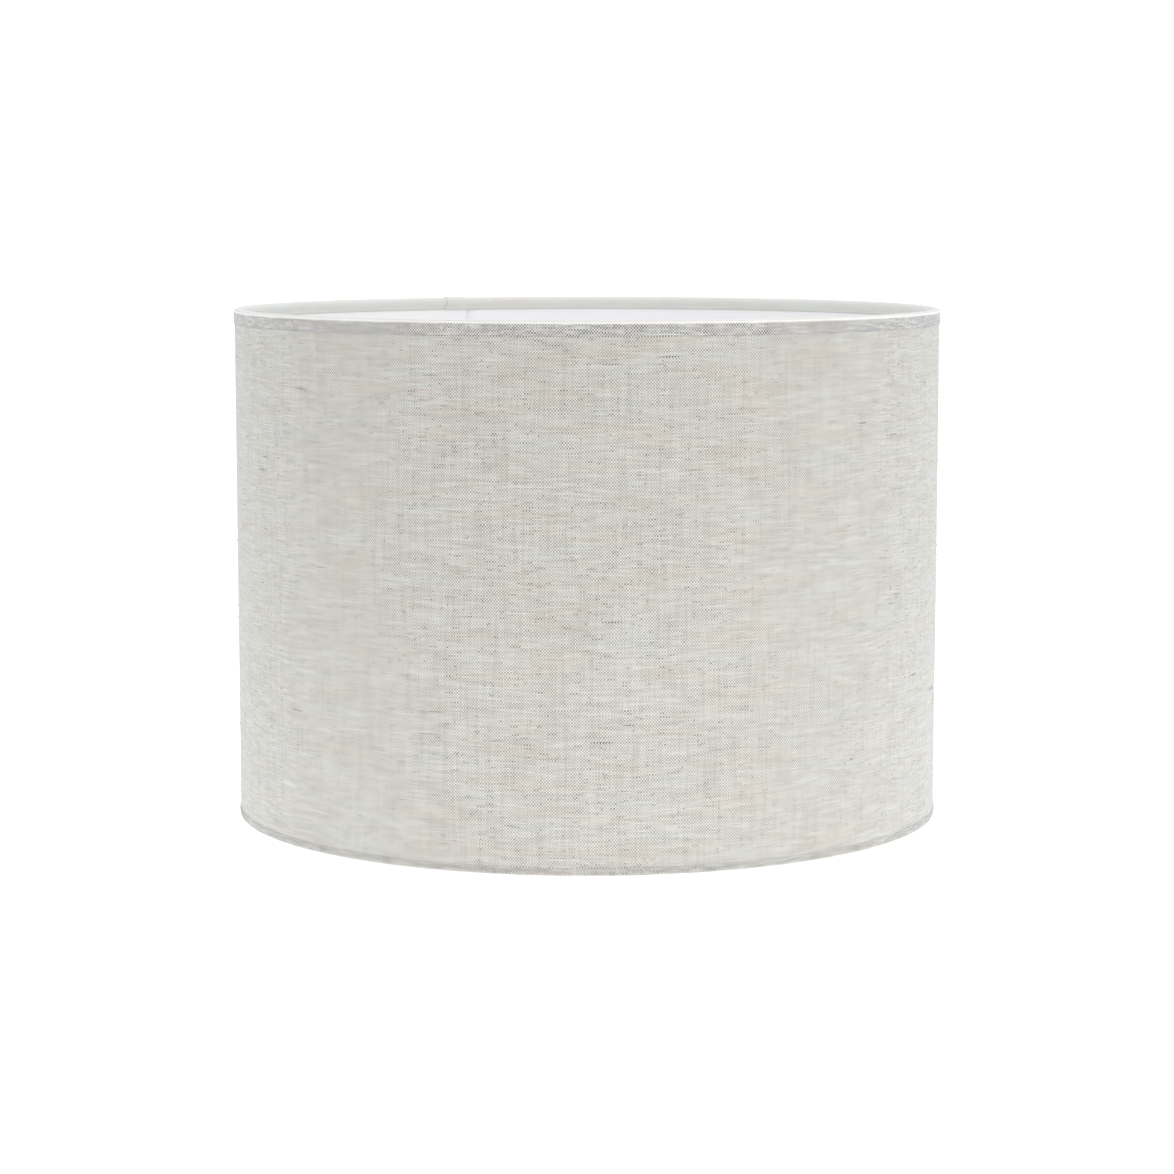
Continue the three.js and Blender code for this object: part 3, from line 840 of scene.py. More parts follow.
@dataclass
class Drum:
    """The rolled sheet: the linen cover with its slubs, the styrene liner behind it, and the seam's tape."""

    lap: Lap
    finishes: Finishes
    linen_thickness: float = 0.5 * MM
    liner_thickness: float = 0.4 * MM
    sag: float = 0.1 * MM  # how far the laminated sheet leaves a true cylinder
    steps_round: int = 540
    steps_up: int = 14
    slub_count: int = 300
    slub_depth: float = 0.1 * MM  # how far under the linen's face a slub's middle lies
    slub_margin: float = 10 * MM  # the height kept free of slubs at each edge, which the bindings cover
    slub_points: int = 9
    slub_sides: int = 6
    seed: int = 7

    def build(self) -> list[bpy.types.Object]:
        """Makes the drum's pieces.

        Returns:
            The pieces.
        """
        cover = self._layer("linen_cover_cloth", "linen_cover", self.linen_thickness, True)
        cover.data.materials.append(self.finishes.cover)
        liner = self._layer("styrene_liner_sheet", "styrene_liner", self.liner_thickness, False)
        liner.data.materials.append(self.finishes.styrene)
        slubs = self._slubs()
        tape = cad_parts["seam_tape"]
        tape.data.materials.clear()
        tape.data.materials.append(self.finishes.film)
        for piece, node, slot in (
            (cover, "linen_cover", "linen"), (slubs, "linen_cover", "linen"),
            (liner, "styrene_liner", "styrene"),
        ):
            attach(piece, "shade")
            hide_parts(node)
        return [cover, slubs, liner]

    def _unevenness(self, turn: np.ndarray, height: np.ndarray) -> np.ndarray:
        """The slight waves of a sheet that was laminated flat and then rolled.

        Args:
            turn: the angle round the drum.
            height: the height, as a share of the sheet's.

        Returns:
            How far outwards each point stands; nothing at the edges, which the rings hold round.
        """
        # 5, 11 and 23 waves to a turn, each set lower than the last; the shorter two lean over as they rise.
        held = np.sin(math.pi * height)
        long_waves = np.sin(5 * turn + 0.7)
        waves = 0.6 * np.sin(11 * turn + 2.1 * height)
        short_waves = 0.35 * np.sin(23 * turn - 3 * height)
        return self.sag * held * (long_waves + waves + short_waves) / 2

    def _layer(self, name: str, node: str, thickness: float, outside: bool) -> bpy.types.Object:
        """Makes one layer of the rolled sheet, lapped at the seam.

        Args:
            name: the piece's name.
            node: the frame's node that it stands for.
            thickness: the layer's thickness.
            outside: whether the layer is seen from outside.

        Returns:
            The piece.
        """
        low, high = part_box(node)
        outer = high.x
        length = FULL_TURN * outer + self.lap.width
        along, up = np.meshgrid(
            np.linspace(0, length, self.steps_round), np.linspace(0, 1, self.steps_up), indexing="ij"
        )
        turn = self.lap.azimuth + along / outer
        out = self.lap.sheet_rise(along, outer) + self._unevenness(turn, up)
        heights = low.z + up * (high.z - low.z)
        faces = [
            np.stack([(r + out) * np.cos(turn), (r + out) * np.sin(turn), heights], -1)
            for r in (outer, outer - thickness)
        ]
        flat = np.stack([along / MM, heights / MM], -1)
        if outside:
            return make_cloth(name, faces[0], faces[1], flat)
        return make_cloth(name, faces[1], faces[0], flat, turned=True)

    def _slubs(self) -> bpy.types.Object:
        """Scatters the thick places of the weft over the linen, each a low swelling along its thread.

        Returns:
            The slubs, as one piece.
        """
        low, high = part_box("linen_cover")
        recipe = NodeRecipe(
            "slubs_round_a_drum",
            {"Count": "NodeSocketInt", "Radius": "NodeSocketFloat", "Low": "NodeSocketFloat",
             "High": "NodeSocketFloat", "Seam": "NodeSocketFloat", "Seed": "NodeSocketInt"},
        )
        given, add = recipe.given, recipe.add
        points = add("GeometryNodePoints", {"Count": given["Count"]}).outputs[0]
        # Least, most and seed offset: turn past the seam, share of the height, length and radius in mm, tone.
        draws = {
            "start": (0.06, FULL_TURN - 0.12, 0), "share": (0.0, 1.0, 1), "length": (2.5, 15.0, 2),
            "swell": (0.24, 0.46, 3), TONE: (0.0, 1.0, 4),
        }
        for name, (least, most, offset) in draws.items():
            seed = add("FunctionNodeIntegerMath", {0: given["Seed"], 1: offset}, operation="ADD")
            draw = add("FunctionNodeRandomValue", {2: least, 3: most, "Seed": seed.outputs[0]})
            points = add(
                "GeometryNodeStoreNamedAttribute",
                {"Geometry": points, "Name": name, "Value": draw.outputs[1]},
            ).outputs[0]
        line = add("GeometryNodeCurvePrimitiveLine", {"End": (1, 0, 0)})
        thread = add("GeometryNodeResampleCurve", {"Curve": line.outputs[0], "Count": self.slub_points})
        copies = add("GeometryNodeInstanceOnPoints", {"Points": points, "Instance": thread.outputs[0]})
        real = add("GeometryNodeRealizeInstances", {"Geometry": copies.outputs[0]}).outputs[0]
        read = {
            name: add("GeometryNodeInputNamedAttribute", {"Name": name}).outputs[0] for name in draws
        }
        factor = add("GeometryNodeSplineParameter").outputs["Factor"]
        placed = self._place_slubs(recipe, real, read, factor)
        half_turn = add("ShaderNodeMath", {0: factor, 1: math.pi}, operation="MULTIPLY")
        belly = add("ShaderNodeMath", {0: half_turn.outputs[0]}, operation="SINE")
        thick = add("ShaderNodeMath", {0: belly.outputs[0], 1: read["swell"]}, operation="MULTIPLY")
        section = add("GeometryNodeCurvePrimitiveCircle", {"Resolution": self.slub_sides, "Radius": 1 * MM})
        swept = add(
            "GeometryNodeCurveToMesh",
            {"Curve": placed, "Profile Curve": section.outputs[0], "Scale": thick.outputs[0],
             "Fill Caps": True},
        )
        recipe.finish(self._cloth_place(recipe, swept.outputs[0]), self.finishes.slubs)
        return recipe.run(
            "linen_slubs",
            {"Count": self.slub_count, "Radius": high.x - self.slub_depth, "Low": low.z + self.slub_margin,
             "High": high.z - self.slub_margin, "Seam": self.lap.azimuth, "Seed": self.seed},
        )

    def _place_slubs(
        self, recipe: NodeRecipe, curves: bpy.types.NodeSocket, read: dict[str, bpy.types.NodeSocket],
        factor: bpy.types.NodeSocket,
    ) -> bpy.types.NodeSocket:
        """Bends each slub's line round the drum at its own place.

        Args:
            recipe: the tree.
            curves: the slubs' straight lines.
            read: each slub's own drawn values.
            factor: how far along its line a point is, from 0 to 1.

        Returns:
            The bent lines.
        """
        given, add = recipe.given, recipe.add
        reach = add("ShaderNodeMath", {0: read["length"], 1: MM}, operation="MULTIPLY")
        arc = add("ShaderNodeMath", {0: reach.outputs[0], 1: given["Radius"]}, operation="DIVIDE")
        begin = add("ShaderNodeMath", {0: given["Seam"], 1: read["start"]}, operation="ADD")
        turn = add(
            "ShaderNodeMath", {0: factor, 1: arc.outputs[0], 2: begin.outputs[0]}, operation="MULTIPLY_ADD"
        )
        east = add("ShaderNodeMath", {0: turn.outputs[0]}, operation="COSINE")
        north = add("ShaderNodeMath", {0: turn.outputs[0]}, operation="SINE")
        level = add(
            "ShaderNodeMapRange", {"Value": read["share"], "To Min": given["Low"], "To Max": given["High"]}
        )
        x = add("ShaderNodeMath", {0: east.outputs[0], 1: given["Radius"]}, operation="MULTIPLY")
        y = add("ShaderNodeMath", {0: north.outputs[0], 1: given["Radius"]}, operation="MULTIPLY")
        place = add("ShaderNodeCombineXYZ", {0: x.outputs[0], 1: y.outputs[0], 2: level.outputs[0]})
        return add("GeometryNodeSetPosition", {"Geometry": curves, "Position": place.outputs[0]}).outputs[0]

    def _cloth_place(self, recipe: NodeRecipe, geometry: bpy.types.NodeSocket) -> bpy.types.NodeSocket:
        """Stores where on the flat cloth each point of the slubs lies, so that the weave runs on over them.

        Args:
            recipe: the tree.
            geometry: the slubs' mesh.

        Returns:
            The mesh with its CLOTH attribute.
        """
        given, add = recipe.given, recipe.add
        at = add("ShaderNodeSeparateXYZ", {0: add("GeometryNodeInputPosition").outputs[0]})
        turn = add("ShaderNodeMath", {0: at.outputs[1], 1: at.outputs[0]}, operation="ARCTAN2")
        past = add("ShaderNodeMath", {0: turn.outputs[0], 1: given["Seam"]}, operation="SUBTRACT")
        round_once = add("ShaderNodeMath", {0: past.outputs[0], 1: FULL_TURN, 2: 0.0}, operation="WRAP")
        along = add("ShaderNodeMath", {0: round_once.outputs[0], 1: given["Radius"]}, operation="MULTIPLY")
        metres = add("ShaderNodeCombineXYZ", {0: along.outputs[0], 1: at.outputs[2]})
        place = add("ShaderNodeVectorMath", {0: metres.outputs[0], "Scale": 1 / MM}, operation="SCALE")
        return add(
            "GeometryNodeStoreNamedAttribute",
            {"Geometry": geometry, "Name": CLOTH, "Value": place.outputs[0]},
            data_type="FLOAT_VECTOR",
        ).outputs[0]


# ---------------------------------------------------------------------------------------------------------
# The edges
# ---------------------------------------------------------------------------------------------------------


class Edge(Enum):
    """The drum's two edges."""

    TOP = "top"
    BOTTOM = "bottom"


JOINT_PAST_SEAM = {Edge.TOP: 0.02, Edge.BOTTOM: 0.35}  # radians from the seam to each strip's own joint
PUSH_FADE = (1 * MM, 2 * MM)  # before and after the fold, where the lap under the strip stops pushing it


@dataclass
class BoundEdge:
    """One edge of the drum: a wire ring, and the strip of linen that is folded over it."""

    edge: Edge
    lap: Lap
    finishes: Finishes
    strip_thickness: float = 0.4 * MM
    wire: float = WIRE
    corner: float = 1.5 * MM  # radius of the fold over the sheet's edge
    roll_end: float = math.radians(228)  # where on the wire the strip leaves it for the liner
    tuck: float = 6.8 * MM  # how far down the inside the strip reaches
    foot_leg: float = 4.4 * MM  # how far up the outside the bottom strip reaches
    pressed_in: float = 0.08 * MM  # how far the raw edge is pressed into the linen
    liner_gap: float = 0.5 * MM  # from the liner's outer face to the tucked strip: its 0.4 mm and a glue line
    overlap: float = 9 * MM  # the strip's own joint
    joint_step: float = 4 * MM  # the length over which the joint's upper layer climbs on to the lower
    joint_clearance: float = 0.05 * MM
    wobble: float = 0.12 * MM  # how far the raw edge leaves a straight line
    wobble_depth: float = 2.5 * MM  # how far in from the raw edge that can be seen
    pressed_edge: float = 0.2 * MM  # how much thinner the strip's raw edge is
    pressed_width: float = 1.2 * MM  # how wide the thinner part is
    steps_round: int = 720
    steps_across: int = 34
    hoop_steps: int = 240
    wire_sides: int = 16

    def build(self) -> list[bpy.types.Object]:
        """Makes the edge's pieces.

        Returns:
            The strip and the wire.
        """
        strip = self._strip()
        wire = self._wire()
        finish = self.finishes.top_strip if self.edge is Edge.TOP else self.finishes.bottom_strip
        strip.data.materials.append(finish)
        for piece, node, slot in (
            (strip, f"{self.edge.value}_binding", "binding_linen"),
            (wire, f"{self.edge.value}_ring", "powder_coat"),
        ):
            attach(piece, "shade")
            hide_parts(node)
        return [strip, wire]

    def _fold(self) -> np.ndarray:
        """The middle line of the strip's section, from its outer edge over the fold to its tucked edge.

        Returns:
            Points of radius and height, with the drum's end at height 0 and the drum below it.
        """
        low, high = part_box(f"{self.edge.value}_binding")
        half = self.strip_thickness / 2
        leg = self._outer_leg(low, high)
        face = high.x - half
        ring_low, ring_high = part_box(f"{self.edge.value}_ring")
        centre = ring_high.x - self.wire / 2
        inset = (high.z - ring_high.z if self.edge is Edge.TOP else ring_low.z - low.z) + self.wire / 2
        round_wire = inset - half
        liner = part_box("styrene_liner")[1].x - self.liner_gap - half
        turned_in = (face - self.corner, -half - self.corner)
        corner = self._arc(turned_in, self.corner, 0, math.pi / 2, count=9)
        bead = self._arc((centre, -inset), round_wire, math.pi / 2, self.roll_end, count=16)
        tuck = [[liner, -inset - self.wire], [liner, -self.tuck]]
        path = np.concatenate([[[face - self.pressed_in, -leg]], corner, bead, tuck])
        return self._even(path)

    def _arc(
        self, centre: tuple[float, float], radius: float, start: float, end: float, count: int
    ) -> np.ndarray:
        """Makes an arc's points.

        Args:
            centre: its middle, as radius and height.
            radius: its radius.
            start: the angle that it starts at.
            end: the angle that it ends at.
            count: how many points it has.

        Returns:
            The points.
        """
        turn = np.linspace(start, end, count)
        return np.stack([centre[0] + radius * np.cos(turn), centre[1] + radius * np.sin(turn)], -1)

    def _outer_leg(self, low: Vector, high: Vector) -> float:
        """How far the strip reaches over the outside: its whole box at the top, less than its tuck below."""
        return high.z - low.z if self.edge is Edge.TOP else self.foot_leg

    def _even(self, path: np.ndarray) -> np.ndarray:
        """Spaces a line's points evenly, and eases its corners.

        Args:
            path: the line's points.

        Returns:
            As many points as the strip has across it.
        """
        steps = np.linalg.norm(np.diff(path, axis=0), axis=1)
        along = np.concatenate([[0], np.cumsum(steps)])
        at = np.linspace(0, along[-1], self.steps_across)
        even = np.stack([np.interp(at, along, path[:, k]) for k in (0, 1)], -1)
        even[1:-1] = (even[:-2] + 2 * even[1:-1] + even[2:]) / 4
        return even

    def _strip(self) -> bpy.types.Object:
        """Sweeps the folded strip round the edge, over the sheet's lap and its own joint.

        Returns:
            The strip.
        """
        low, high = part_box(f"{self.edge.value}_binding")
        top = self.edge is Edge.TOP
        fold = self._fold()
        ahead = np.gradient(fold, axis=0)
        ahead /= np.linalg.norm(ahead, axis=1)[:, None]
        outwards = np.stack([ahead[:, 1], -ahead[:, 0]], -1)
        width = np.concatenate([[0], np.cumsum(np.linalg.norm(np.diff(fold, axis=0), axis=1))])
        radius = high.x
        turn_length = FULL_TURN * radius
        along = np.linspace(0, turn_length + self.overlap, self.steps_round)
        turn = self.lap.azimuth + JOINT_PAST_SEAM[self.edge] + along / radius
        on_sheet = np.mod(turn - self.lap.azimuth, FULL_TURN) * radius
        leg = self._outer_leg(low, high)
        on_lap = 1 - smooth(width, leg - PUSH_FADE[0], leg + PUSH_FADE[1])
        push = np.outer(self.lap.edge_rise(on_sheet, radius), on_lap)
        climb = smooth(along, turn_length - self.joint_step, turn_length)
        over = (self.strip_thickness + self.joint_clearance) * climb
        uneven = np.outer(self._edge_waves(turn), np.exp(-width / self.wobble_depth))
        pressed = self.pressed_edge * (1 - smooth(width, 0, self.pressed_width))
        half = self.strip_thickness / 2
        east, north = np.cos(turn)[:, None], np.sin(turn)[:, None]
        faces = []
        for side in (half - pressed, np.full_like(width, -half)):
            away = side[None, :] + over[:, None]
            radii = fold[None, :, 0] + outwards[None, :, 0] * away + push
            heights = fold[None, :, 1] + outwards[None, :, 1] * away + uneven
            level = high.z + heights if top else low.z - heights
            faces.append(np.stack([radii * east, radii * north, level], -1))
        flat = np.stack(np.meshgrid(along / MM, width / MM, indexing="ij"), -1)
        name = f"{self.edge.value}_binding_strip"
        strip = make_cloth(name, faces[0], faces[1], flat, turned=not top)
        return strip

    def _edge_waves(self, turn: np.ndarray) -> np.ndarray:
        """How far the hand-folded raw edge leaves a straight line.

        Args:
            turn: the angle round the drum.

        Returns:
            The distance at each angle.
        """
        # 17, 41 and 97 waves to a turn, each set lower than the last.
        waves = np.sin(17 * turn) + 0.7 * np.sin(41 * turn + 1) + 0.5 * np.sin(97 * turn + 2)
        return self.wobble * waves / 2

    def _wire(self) -> bpy.types.Object:
        """Sweeps the ring's round wire.

        Returns:
            The wire ring.
        """
        low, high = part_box(f"{self.edge.value}_ring")
        recipe = NodeRecipe(
            f"{self.edge.value}_wire_hoop",
            {"Ring Radius": "NodeSocketFloat", "Wire Radius": "NodeSocketFloat",
             "Level": "NodeSocketFloat"},
        )
        given, add = recipe.given, recipe.add
        circle = add(
            "GeometryNodeCurvePrimitiveCircle",
            {"Resolution": self.hoop_steps, "Radius": given["Ring Radius"]},
        )
        lift = add("ShaderNodeCombineXYZ", {2: given["Level"]})
        lifted = add("GeometryNodeTransform", {"Geometry": circle.outputs[0], "Translation": lift.outputs[0]})
        section = add(
            "GeometryNodeCurvePrimitiveCircle",
            {"Resolution": self.wire_sides, "Radius": given["Wire Radius"]},
        )
        swept = add(
            "GeometryNodeCurveToMesh", {"Curve": lifted.outputs[0], "Profile Curve": section.outputs[0]}
        )
        recipe.finish(swept.outputs[0], self.finishes.powder)
        return recipe.run(
            f"{self.edge.value}_ring_wire",
            {"Ring Radius": high.x - self.wire / 2, "Wire Radius": self.wire / 2,
             "Level": (low.z + high.z) / 2},
        )


# ---------------------------------------------------------------------------------------------------------
# The fitter
# ---------------------------------------------------------------------------------------------------------


@dataclass
class Fitter:
    """The wire arms, the pressed collar that they are welded to, and the loose reducer ring in it."""

    finishes: Finishes
    wire: float = WIRE
    slope: float = math.radians(35)  # of the arms, above level
    bend_radius: float = 22 * MM
    weld_reach: float = 3 * MM
    weld_swell: float = 1.4  # how much thicker than the wire a weld is
    ring_gap: float = 0.1 * MM  # from the ring's wire to the arm's end
    collar_bite: float = 0.2 * MM  # how far an arm's end goes into the collar's lip
    hole: float = 42 * MM
    floor: float = 1.6 * MM  # thickness
    lip: float = 1.4 * MM  # thickness
    pressed_radius: float = 0.6 * MM  # of the collar's edges
    reducer_hole: float = 29 * MM
    seat_gap: float = 0.1 * MM  # from the collar's floor to the reducer
    play: float = 0.4 * MM  # round the spigot
    flange: float = 2.0 * MM
    crown_wall: float = 2.0 * MM
    spigot_wall: float = 2.5 * MM
    bead: float = 1.6 * MM
    bead_height: float = 2.6 * MM
    moulded_radius: float = 0.5 * MM  # of the reducer's edges
    notch_radius: float = 5 * MM
    notch_depth: float = 3.2 * MM
    notch_cut: float = 20 * MM  # the cutters' height, well over the reducer's
    arm_step: float = 1 * MM
    bend_steps: int = 14
    wire_sides: int = 20
    collar_steps: int = 128
    reducer_steps: int = 144
    notch_steps: int = 64
    azimuths: dict[str, float] = field(
        default_factory=lambda: {"fitter_arm_back": 90, "fitter_arm_left": 210, "fitter_arm_right": 330}
    )

    def build(self) -> list[bpy.types.Object]:
        """Makes the fitter's pieces.

        Returns:
            The pieces.
        """
        arms = self._arms()
        collar = self._collar()
        reducer = self._reducer()
        for piece, node, body, slot in (
            *((arm, node, "shade", "powder_coat") for node, arm in arms.items()),
            (collar, "fitter_collar", "shade", "powder_coat"),
            (reducer, "reducer_ring", "reducer", "moulded_plastic"),
        ):
            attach(piece, body)
            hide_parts(node)
        return [*arms.values(), collar, reducer]

    def _arms(self) -> dict[str, bpy.types.Object]:
        """Sweeps each arm along its bent line, swelling into a weld at both ends.

        Returns:
            Each arm, under its node's name.
        """
        recipe = NodeRecipe(
            "welded_wire_arm",
            {"Wire Radius": "NodeSocketFloat", "Bend Radius": "NodeSocketFloat",
             "Weld Reach": "NodeSocketFloat", "Weld Swell": "NodeSocketFloat"},
        )
        given, add = recipe.given, recipe.add
        line = add("GeometryNodeMeshToCurve", {"Mesh": given["Geometry"]})
        bent = add(
            "GeometryNodeFilletCurve",
            {"Curve": line.outputs[0], "Radius": given["Bend Radius"], "Count": self.bend_steps},
            mode="POLY",
        )
        even = add(
            "GeometryNodeResampleCurve", {"Curve": bent.outputs[0], "Length": self.arm_step}, mode="LENGTH"
        )
        along = add("GeometryNodeSplineParameter").outputs["Length"]
        whole = add("GeometryNodeSplineLength").outputs["Length"]
        left = add("ShaderNodeMath", {0: whole, 1: along}, operation="SUBTRACT")
        near = add("ShaderNodeMath", {0: along, 1: left.outputs[0]}, operation="MINIMUM")
        swell = add(
            "ShaderNodeMapRange",
            {"Value": near.outputs[0], "From Min": 0.0, "From Max": given["Weld Reach"],
             "To Min": given["Weld Swell"], "To Max": 1.0},
            interpolation_type="SMOOTHSTEP",
        )
        section = add(
            "GeometryNodeCurvePrimitiveCircle",
            {"Resolution": self.wire_sides, "Radius": given["Wire Radius"]},
        )
        swept = add(
            "GeometryNodeCurveToMesh",
            {"Curve": even.outputs[0], "Profile Curve": section.outputs[0], "Scale": swell.outputs[0],
             "Fill Caps": True},
        )
        recipe.finish(swept.outputs[0], self.finishes.powder)
        values = {
            "Wire Radius": self.wire / 2, "Bend Radius": self.bend_radius,
            "Weld Reach": self.weld_reach, "Weld Swell": self.weld_swell,
        }
        return {
            node: recipe.run(f"{node}_wire", values, self._arm_line(node, azimuth))
            for node, azimuth in self.azimuths.items()
        }

    def _arm_line(self, node: str, azimuth: float) -> np.ndarray:
        """The corners of an arm's middle line: the ring, the bend and the collar.

        Args:
            node: the arm's node.
            azimuth: where round the axis it stands, in degrees.

        Returns:
            Three points.
        """
        ring_low, ring_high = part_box("bottom_ring")
        ring = ring_high.x - self.wire / 2
        low_level = (ring_low.z + ring_high.z) / 2
        high_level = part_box(node)[1].z - self.wire / 2
        run = (high_level - low_level) / math.tan(self.slope)
        start = self.wire / 2 + self.ring_gap
        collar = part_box("fitter_collar")[1].x
        radii = [ring - start * math.cos(self.slope), ring - run, collar - self.collar_bite]
        levels = [low_level + start * math.sin(self.slope), high_level, high_level]
        turn = math.radians(azimuth)
        return np.array([[r * math.cos(turn), r * math.sin(turn), z] for r, z in zip(radii, levels)])

    def _collar(self) -> bpy.types.Object:
        """Turns the pressed collar, with the rounded edges of a pressing.

        Returns:
            The collar.
        """
        low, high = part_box("fitter_collar")
        outer = high.x
        outline = rounded(
            [
                (self.hole / 2, low.z), (outer, low.z), (outer, high.z), (outer - self.lip, high.z),
                (outer - self.lip, low.z + self.floor), (self.hole / 2, low.z + self.floor),
            ],
            self.pressed_radius,
        )
        collar = revolve("fitter_collar_pressing", outline, self.collar_steps)
        collar.data.materials.append(self.finishes.powder)
        return collar

    def _reducer(self) -> bpy.types.Object:
        """Turns the reducer ring and cuts its two finger notches.

        Returns:
            The reducer ring.
        """
        low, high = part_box("reducer_ring")
        outer = high.y
        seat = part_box("fitter_collar")[0].z + self.floor + self.seat_gap
        spigot = self.hole / 2 - self.play
        bore = self.reducer_hole / 2
        outline = rounded(
            [
                (bore, seat), (spigot - self.spigot_wall, seat), (spigot - self.spigot_wall, low.z),
                (spigot, low.z), (spigot, seat), (outer, seat), (outer, seat + self.bead_height),
                (outer - self.bead, seat + self.bead_height), (outer - self.bead, seat + self.flange),
                (bore + self.crown_wall, seat + self.flange), (bore + self.crown_wall, high.z),
                (bore, high.z),
            ],
            self.moulded_radius,
        )
        ring = revolve("reducer_ring_blank", outline, self.reducer_steps)
        ring.data.materials.append(self.finishes.moulding)
        cutter = self._notch_cutter(outer, (seat + high.z) / 2)
        modifier = ring.modifiers.new("notches", "BOOLEAN")
        modifier.object = cutter
        modifier.solver = "EXACT"
        made = as_plain_mesh(ring, "reducer_ring_moulding")
        bpy.data.objects.remove(cutter)
        made.data.set_sharp_from_angle(angle=math.radians(CREASE))
        return made

    def _notch_cutter(self, outer: float, level: float) -> bpy.types.Object:
        """Makes the two upright cylinders that cut the finger notches.

        Args:
            outer: the reducer's outer radius.
            level: the height of their middles.

        Returns:
            One object that holds both.
        """
        reach = outer + self.notch_radius - self.notch_depth
        shape = bmesh.new()
        for side in (-reach, reach):
            bmesh.ops.create_cone(
                shape, cap_ends=True, segments=self.notch_steps, radius1=self.notch_radius,
                radius2=self.notch_radius, depth=self.notch_cut,
                matrix=Matrix.Translation((side, 0, level)),
            )
        mesh = bpy.data.meshes.new("finger_notches")
        shape.to_mesh(mesh)
        shape.free()
        cutter = bpy.data.objects.new("finger_notches", mesh)
        bpy.context.scene.collection.objects.link(cutter)
        return cutter


# ---------------------------------------------------------------------------------------------------------
# The studio
# ---------------------------------------------------------------------------------------------------------


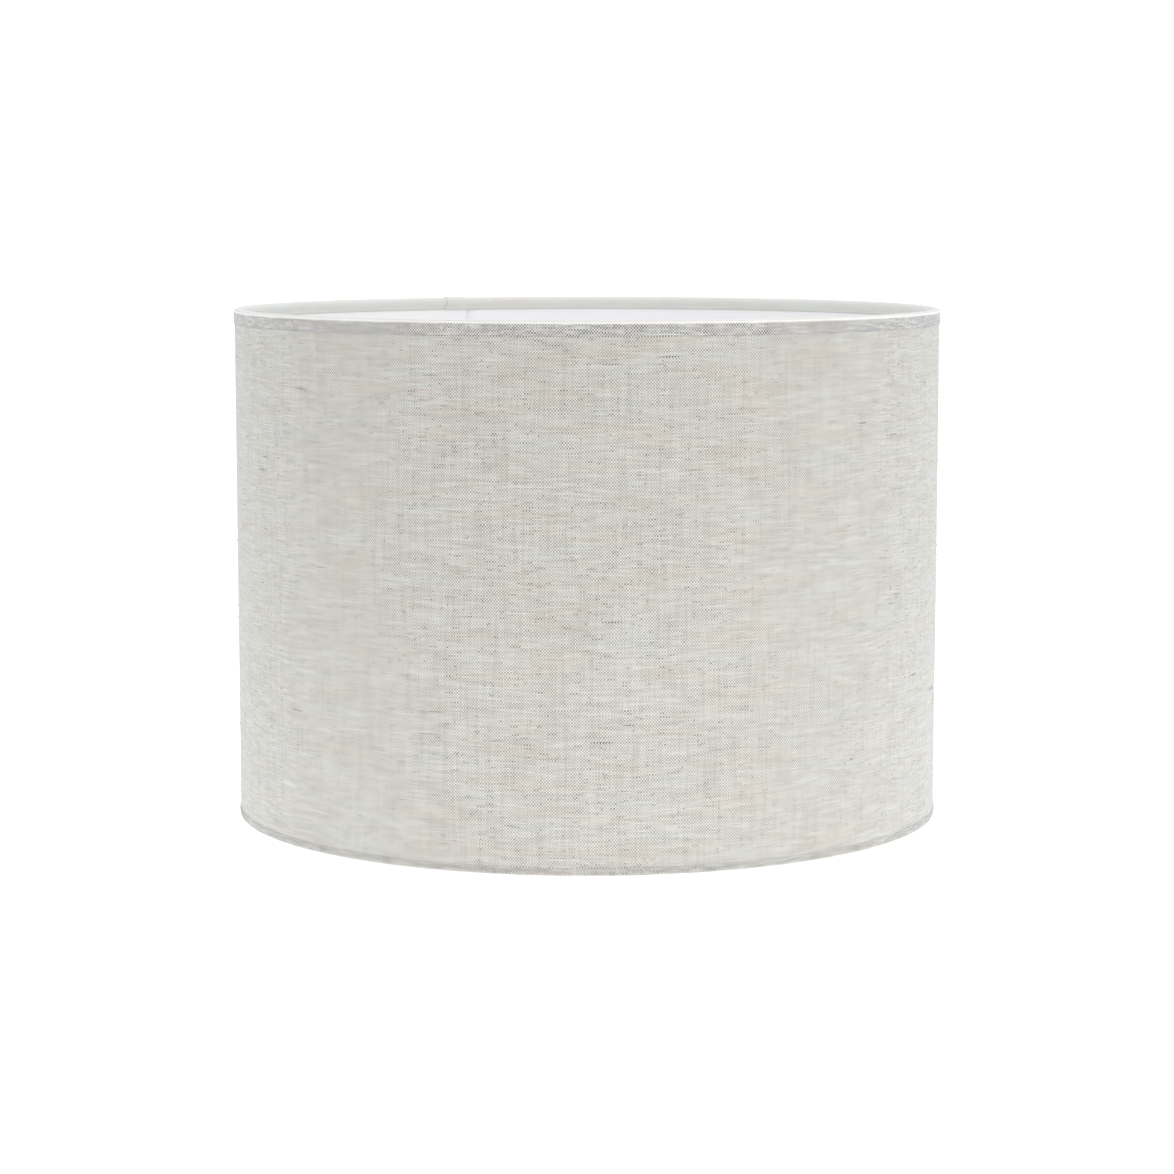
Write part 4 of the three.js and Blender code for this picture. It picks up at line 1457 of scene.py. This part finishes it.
@dataclass
class Studio:
    """A plain white studio: a pale floor that glows round the shade, even light from all round, and the
    camera.
    """

    distance: float = 9.1122  # in radii of the shade, from its axis
    rise: float = 0.3069  # in radii, above the shade's top
    tilt: float = math.radians(6.94)
    lens: float = 97.9  # millimetres, with the sensor below
    sensor: float = 36
    sight: float = 100  # metres, past the floor's far edge
    sky: float = 1.02  # the even light from all round
    glow: float = 1.05  # the floor's painted glow near the shade, a pool of light that lights its foot
    far_glow: float = 0.3
    glow_fades: tuple[float, float] = (0.3, 0.75)  # metres from the axis
    inside_glow: float = 0.6  # the share of it left inside the drum: painted shadow on the floor under the shade
    drum_edge: tuple[float, float] = (0.166, 0.176)  # metres from the axis, just inside and outside the foot
    floor_reach: float = 12.0  # metres from the axis to each side
    aim: tuple[float, float, float] = (0, 0, 0.12)  # the middle of the shade

    def build(self) -> None:
        """Makes the camera, the floor and the lights."""
        low, high = CAD_BOX
        radius = (high.x - low.x) / 2
        self._camera(radius, high.z)
        self._floor()
        self._light("right_bank", place=(1.5, -0.75, 0.25), size=(0.9, 1.0), power=5.0)
        self._light("left_bank", place=(-1.7, -0.6, 0.2), size=(0.8, 0.9), power=0.5)
        world = bpy.data.worlds.new("white_studio")
        world.use_nodes = True
        background = world.node_tree.nodes["Background"]
        background.inputs["Color"].default_value = linear("ffffff")
        background.inputs["Strength"].default_value = self.sky
        bpy.context.scene.world = world
        bpy.context.scene.view_settings.view_transform = "Standard"
        bpy.context.scene.view_settings.look = "None"

    def _camera(self, radius: float, top: float) -> None:
        """Places the camera in front of the shade and a little above it.

        Args:
            radius: the shade's radius.
            top: the height of its top.
        """
        data = bpy.data.cameras.new("camera")
        data.lens = self.lens
        data.sensor_width = self.sensor
        data.clip_end = self.sight
        camera = bpy.data.objects.new("camera", data)
        camera.location = (0, -self.distance * radius, top + self.rise * radius)
        camera.rotation_euler = (math.pi / 2 - self.tilt, 0, 0)
        bpy.context.scene.collection.objects.link(camera)
        bpy.context.scene.camera = camera

    def _floor(self) -> None:
        """Lays a wide pale floor that glows though it is no lamp: a painted pool of light round the shade
        keeps the floor white and lights the shade's foot.
        """
        half = self.floor_reach
        corners = np.array([(-half, -half, 0), (half, -half, 0), (half, half, 0), (-half, half, 0)], float)
        floor = make_object("studio_floor", corners, np.array([[0, 1, 2, 3]]))
        # Matt paper, pale grey: no gloss at all, and white where its painted glow is strongest.
        material, tree, shader = new_material("studio_paper_glowing")
        place = add_node(tree, "ShaderNodeTexCoord").outputs["Object"]
        away = add_node(tree, "ShaderNodeVectorMath", {0: place}, operation="LENGTH").outputs["Value"]
        near, far = self.glow_fades
        glow = add_node(
            tree, "ShaderNodeMapRange",
            {"Value": away, "From Min": near, "From Max": far, "To Min": self.glow, "To Max": self.far_glow},
            interpolation_type="SMOOTHSTEP",
        )
        # Painted shadow: the glow drops inside the drum's foot.
        inside, outside = self.drum_edge
        shaded = add_node(
            tree, "ShaderNodeMapRange",
            {"Value": away, "From Min": inside, "From Max": outside, "To Min": self.inside_glow,
             "To Max": 1.0},
        )
        strength = add_node(
            tree, "ShaderNodeMath", {0: glow.outputs[0], 1: shaded.outputs[0]}, operation="MULTIPLY"
        )
        tree.links.new(strength.outputs[0], shader.inputs["Emission Strength"])
        shader.inputs["Base Color"].default_value = linear("f5f5f5")
        shader.inputs["Roughness"].default_value = 1.0
        shader.inputs["Specular IOR Level"].default_value = 0.0
        shader.inputs["Emission Color"].default_value = linear("f6f9ff")
        floor.data.materials.append(material)

    def _light(
        self, name: str, place: tuple[float, float, float], size: tuple[float, float], power: float
    ) -> None:
        """Hangs one soft light that looks at the shade.

        Args:
            name: the light's name.
            place: where it stands, in metres.
            size: its width and height, in metres.
            power: its power, in watts.
        """
        data = bpy.data.lights.new(name, "AREA")
        data.shape = "RECTANGLE"
        data.size, data.size_y = size
        data.energy = power
        light = bpy.data.objects.new(name, data)
        light.location = place
        aim = Vector(self.aim) - Vector(place)
        light.rotation_mode = "QUATERNION"
        light.rotation_quaternion = aim.to_track_quat("-Z", "Y")
        bpy.context.scene.collection.objects.link(light)


def main() -> None:
    """Builds the studio and every piece of the shade, in order, and reports each."""
    logging.basicConfig(level=logging.INFO, format="%(message)s")
    Studio().build()
    finishes = Finishes()
    lap = Lap()
    builders = [
        Drum(lap, finishes), BoundEdge(Edge.TOP, lap, finishes), BoundEdge(Edge.BOTTOM, lap, finishes),
        Fitter(finishes),
    ]
    for builder in builders:
        for piece in builder.build():
            log.info("%s: %d faces", piece.name, len(piece.data.polygons))


if __name__ == "__main__":
    main()
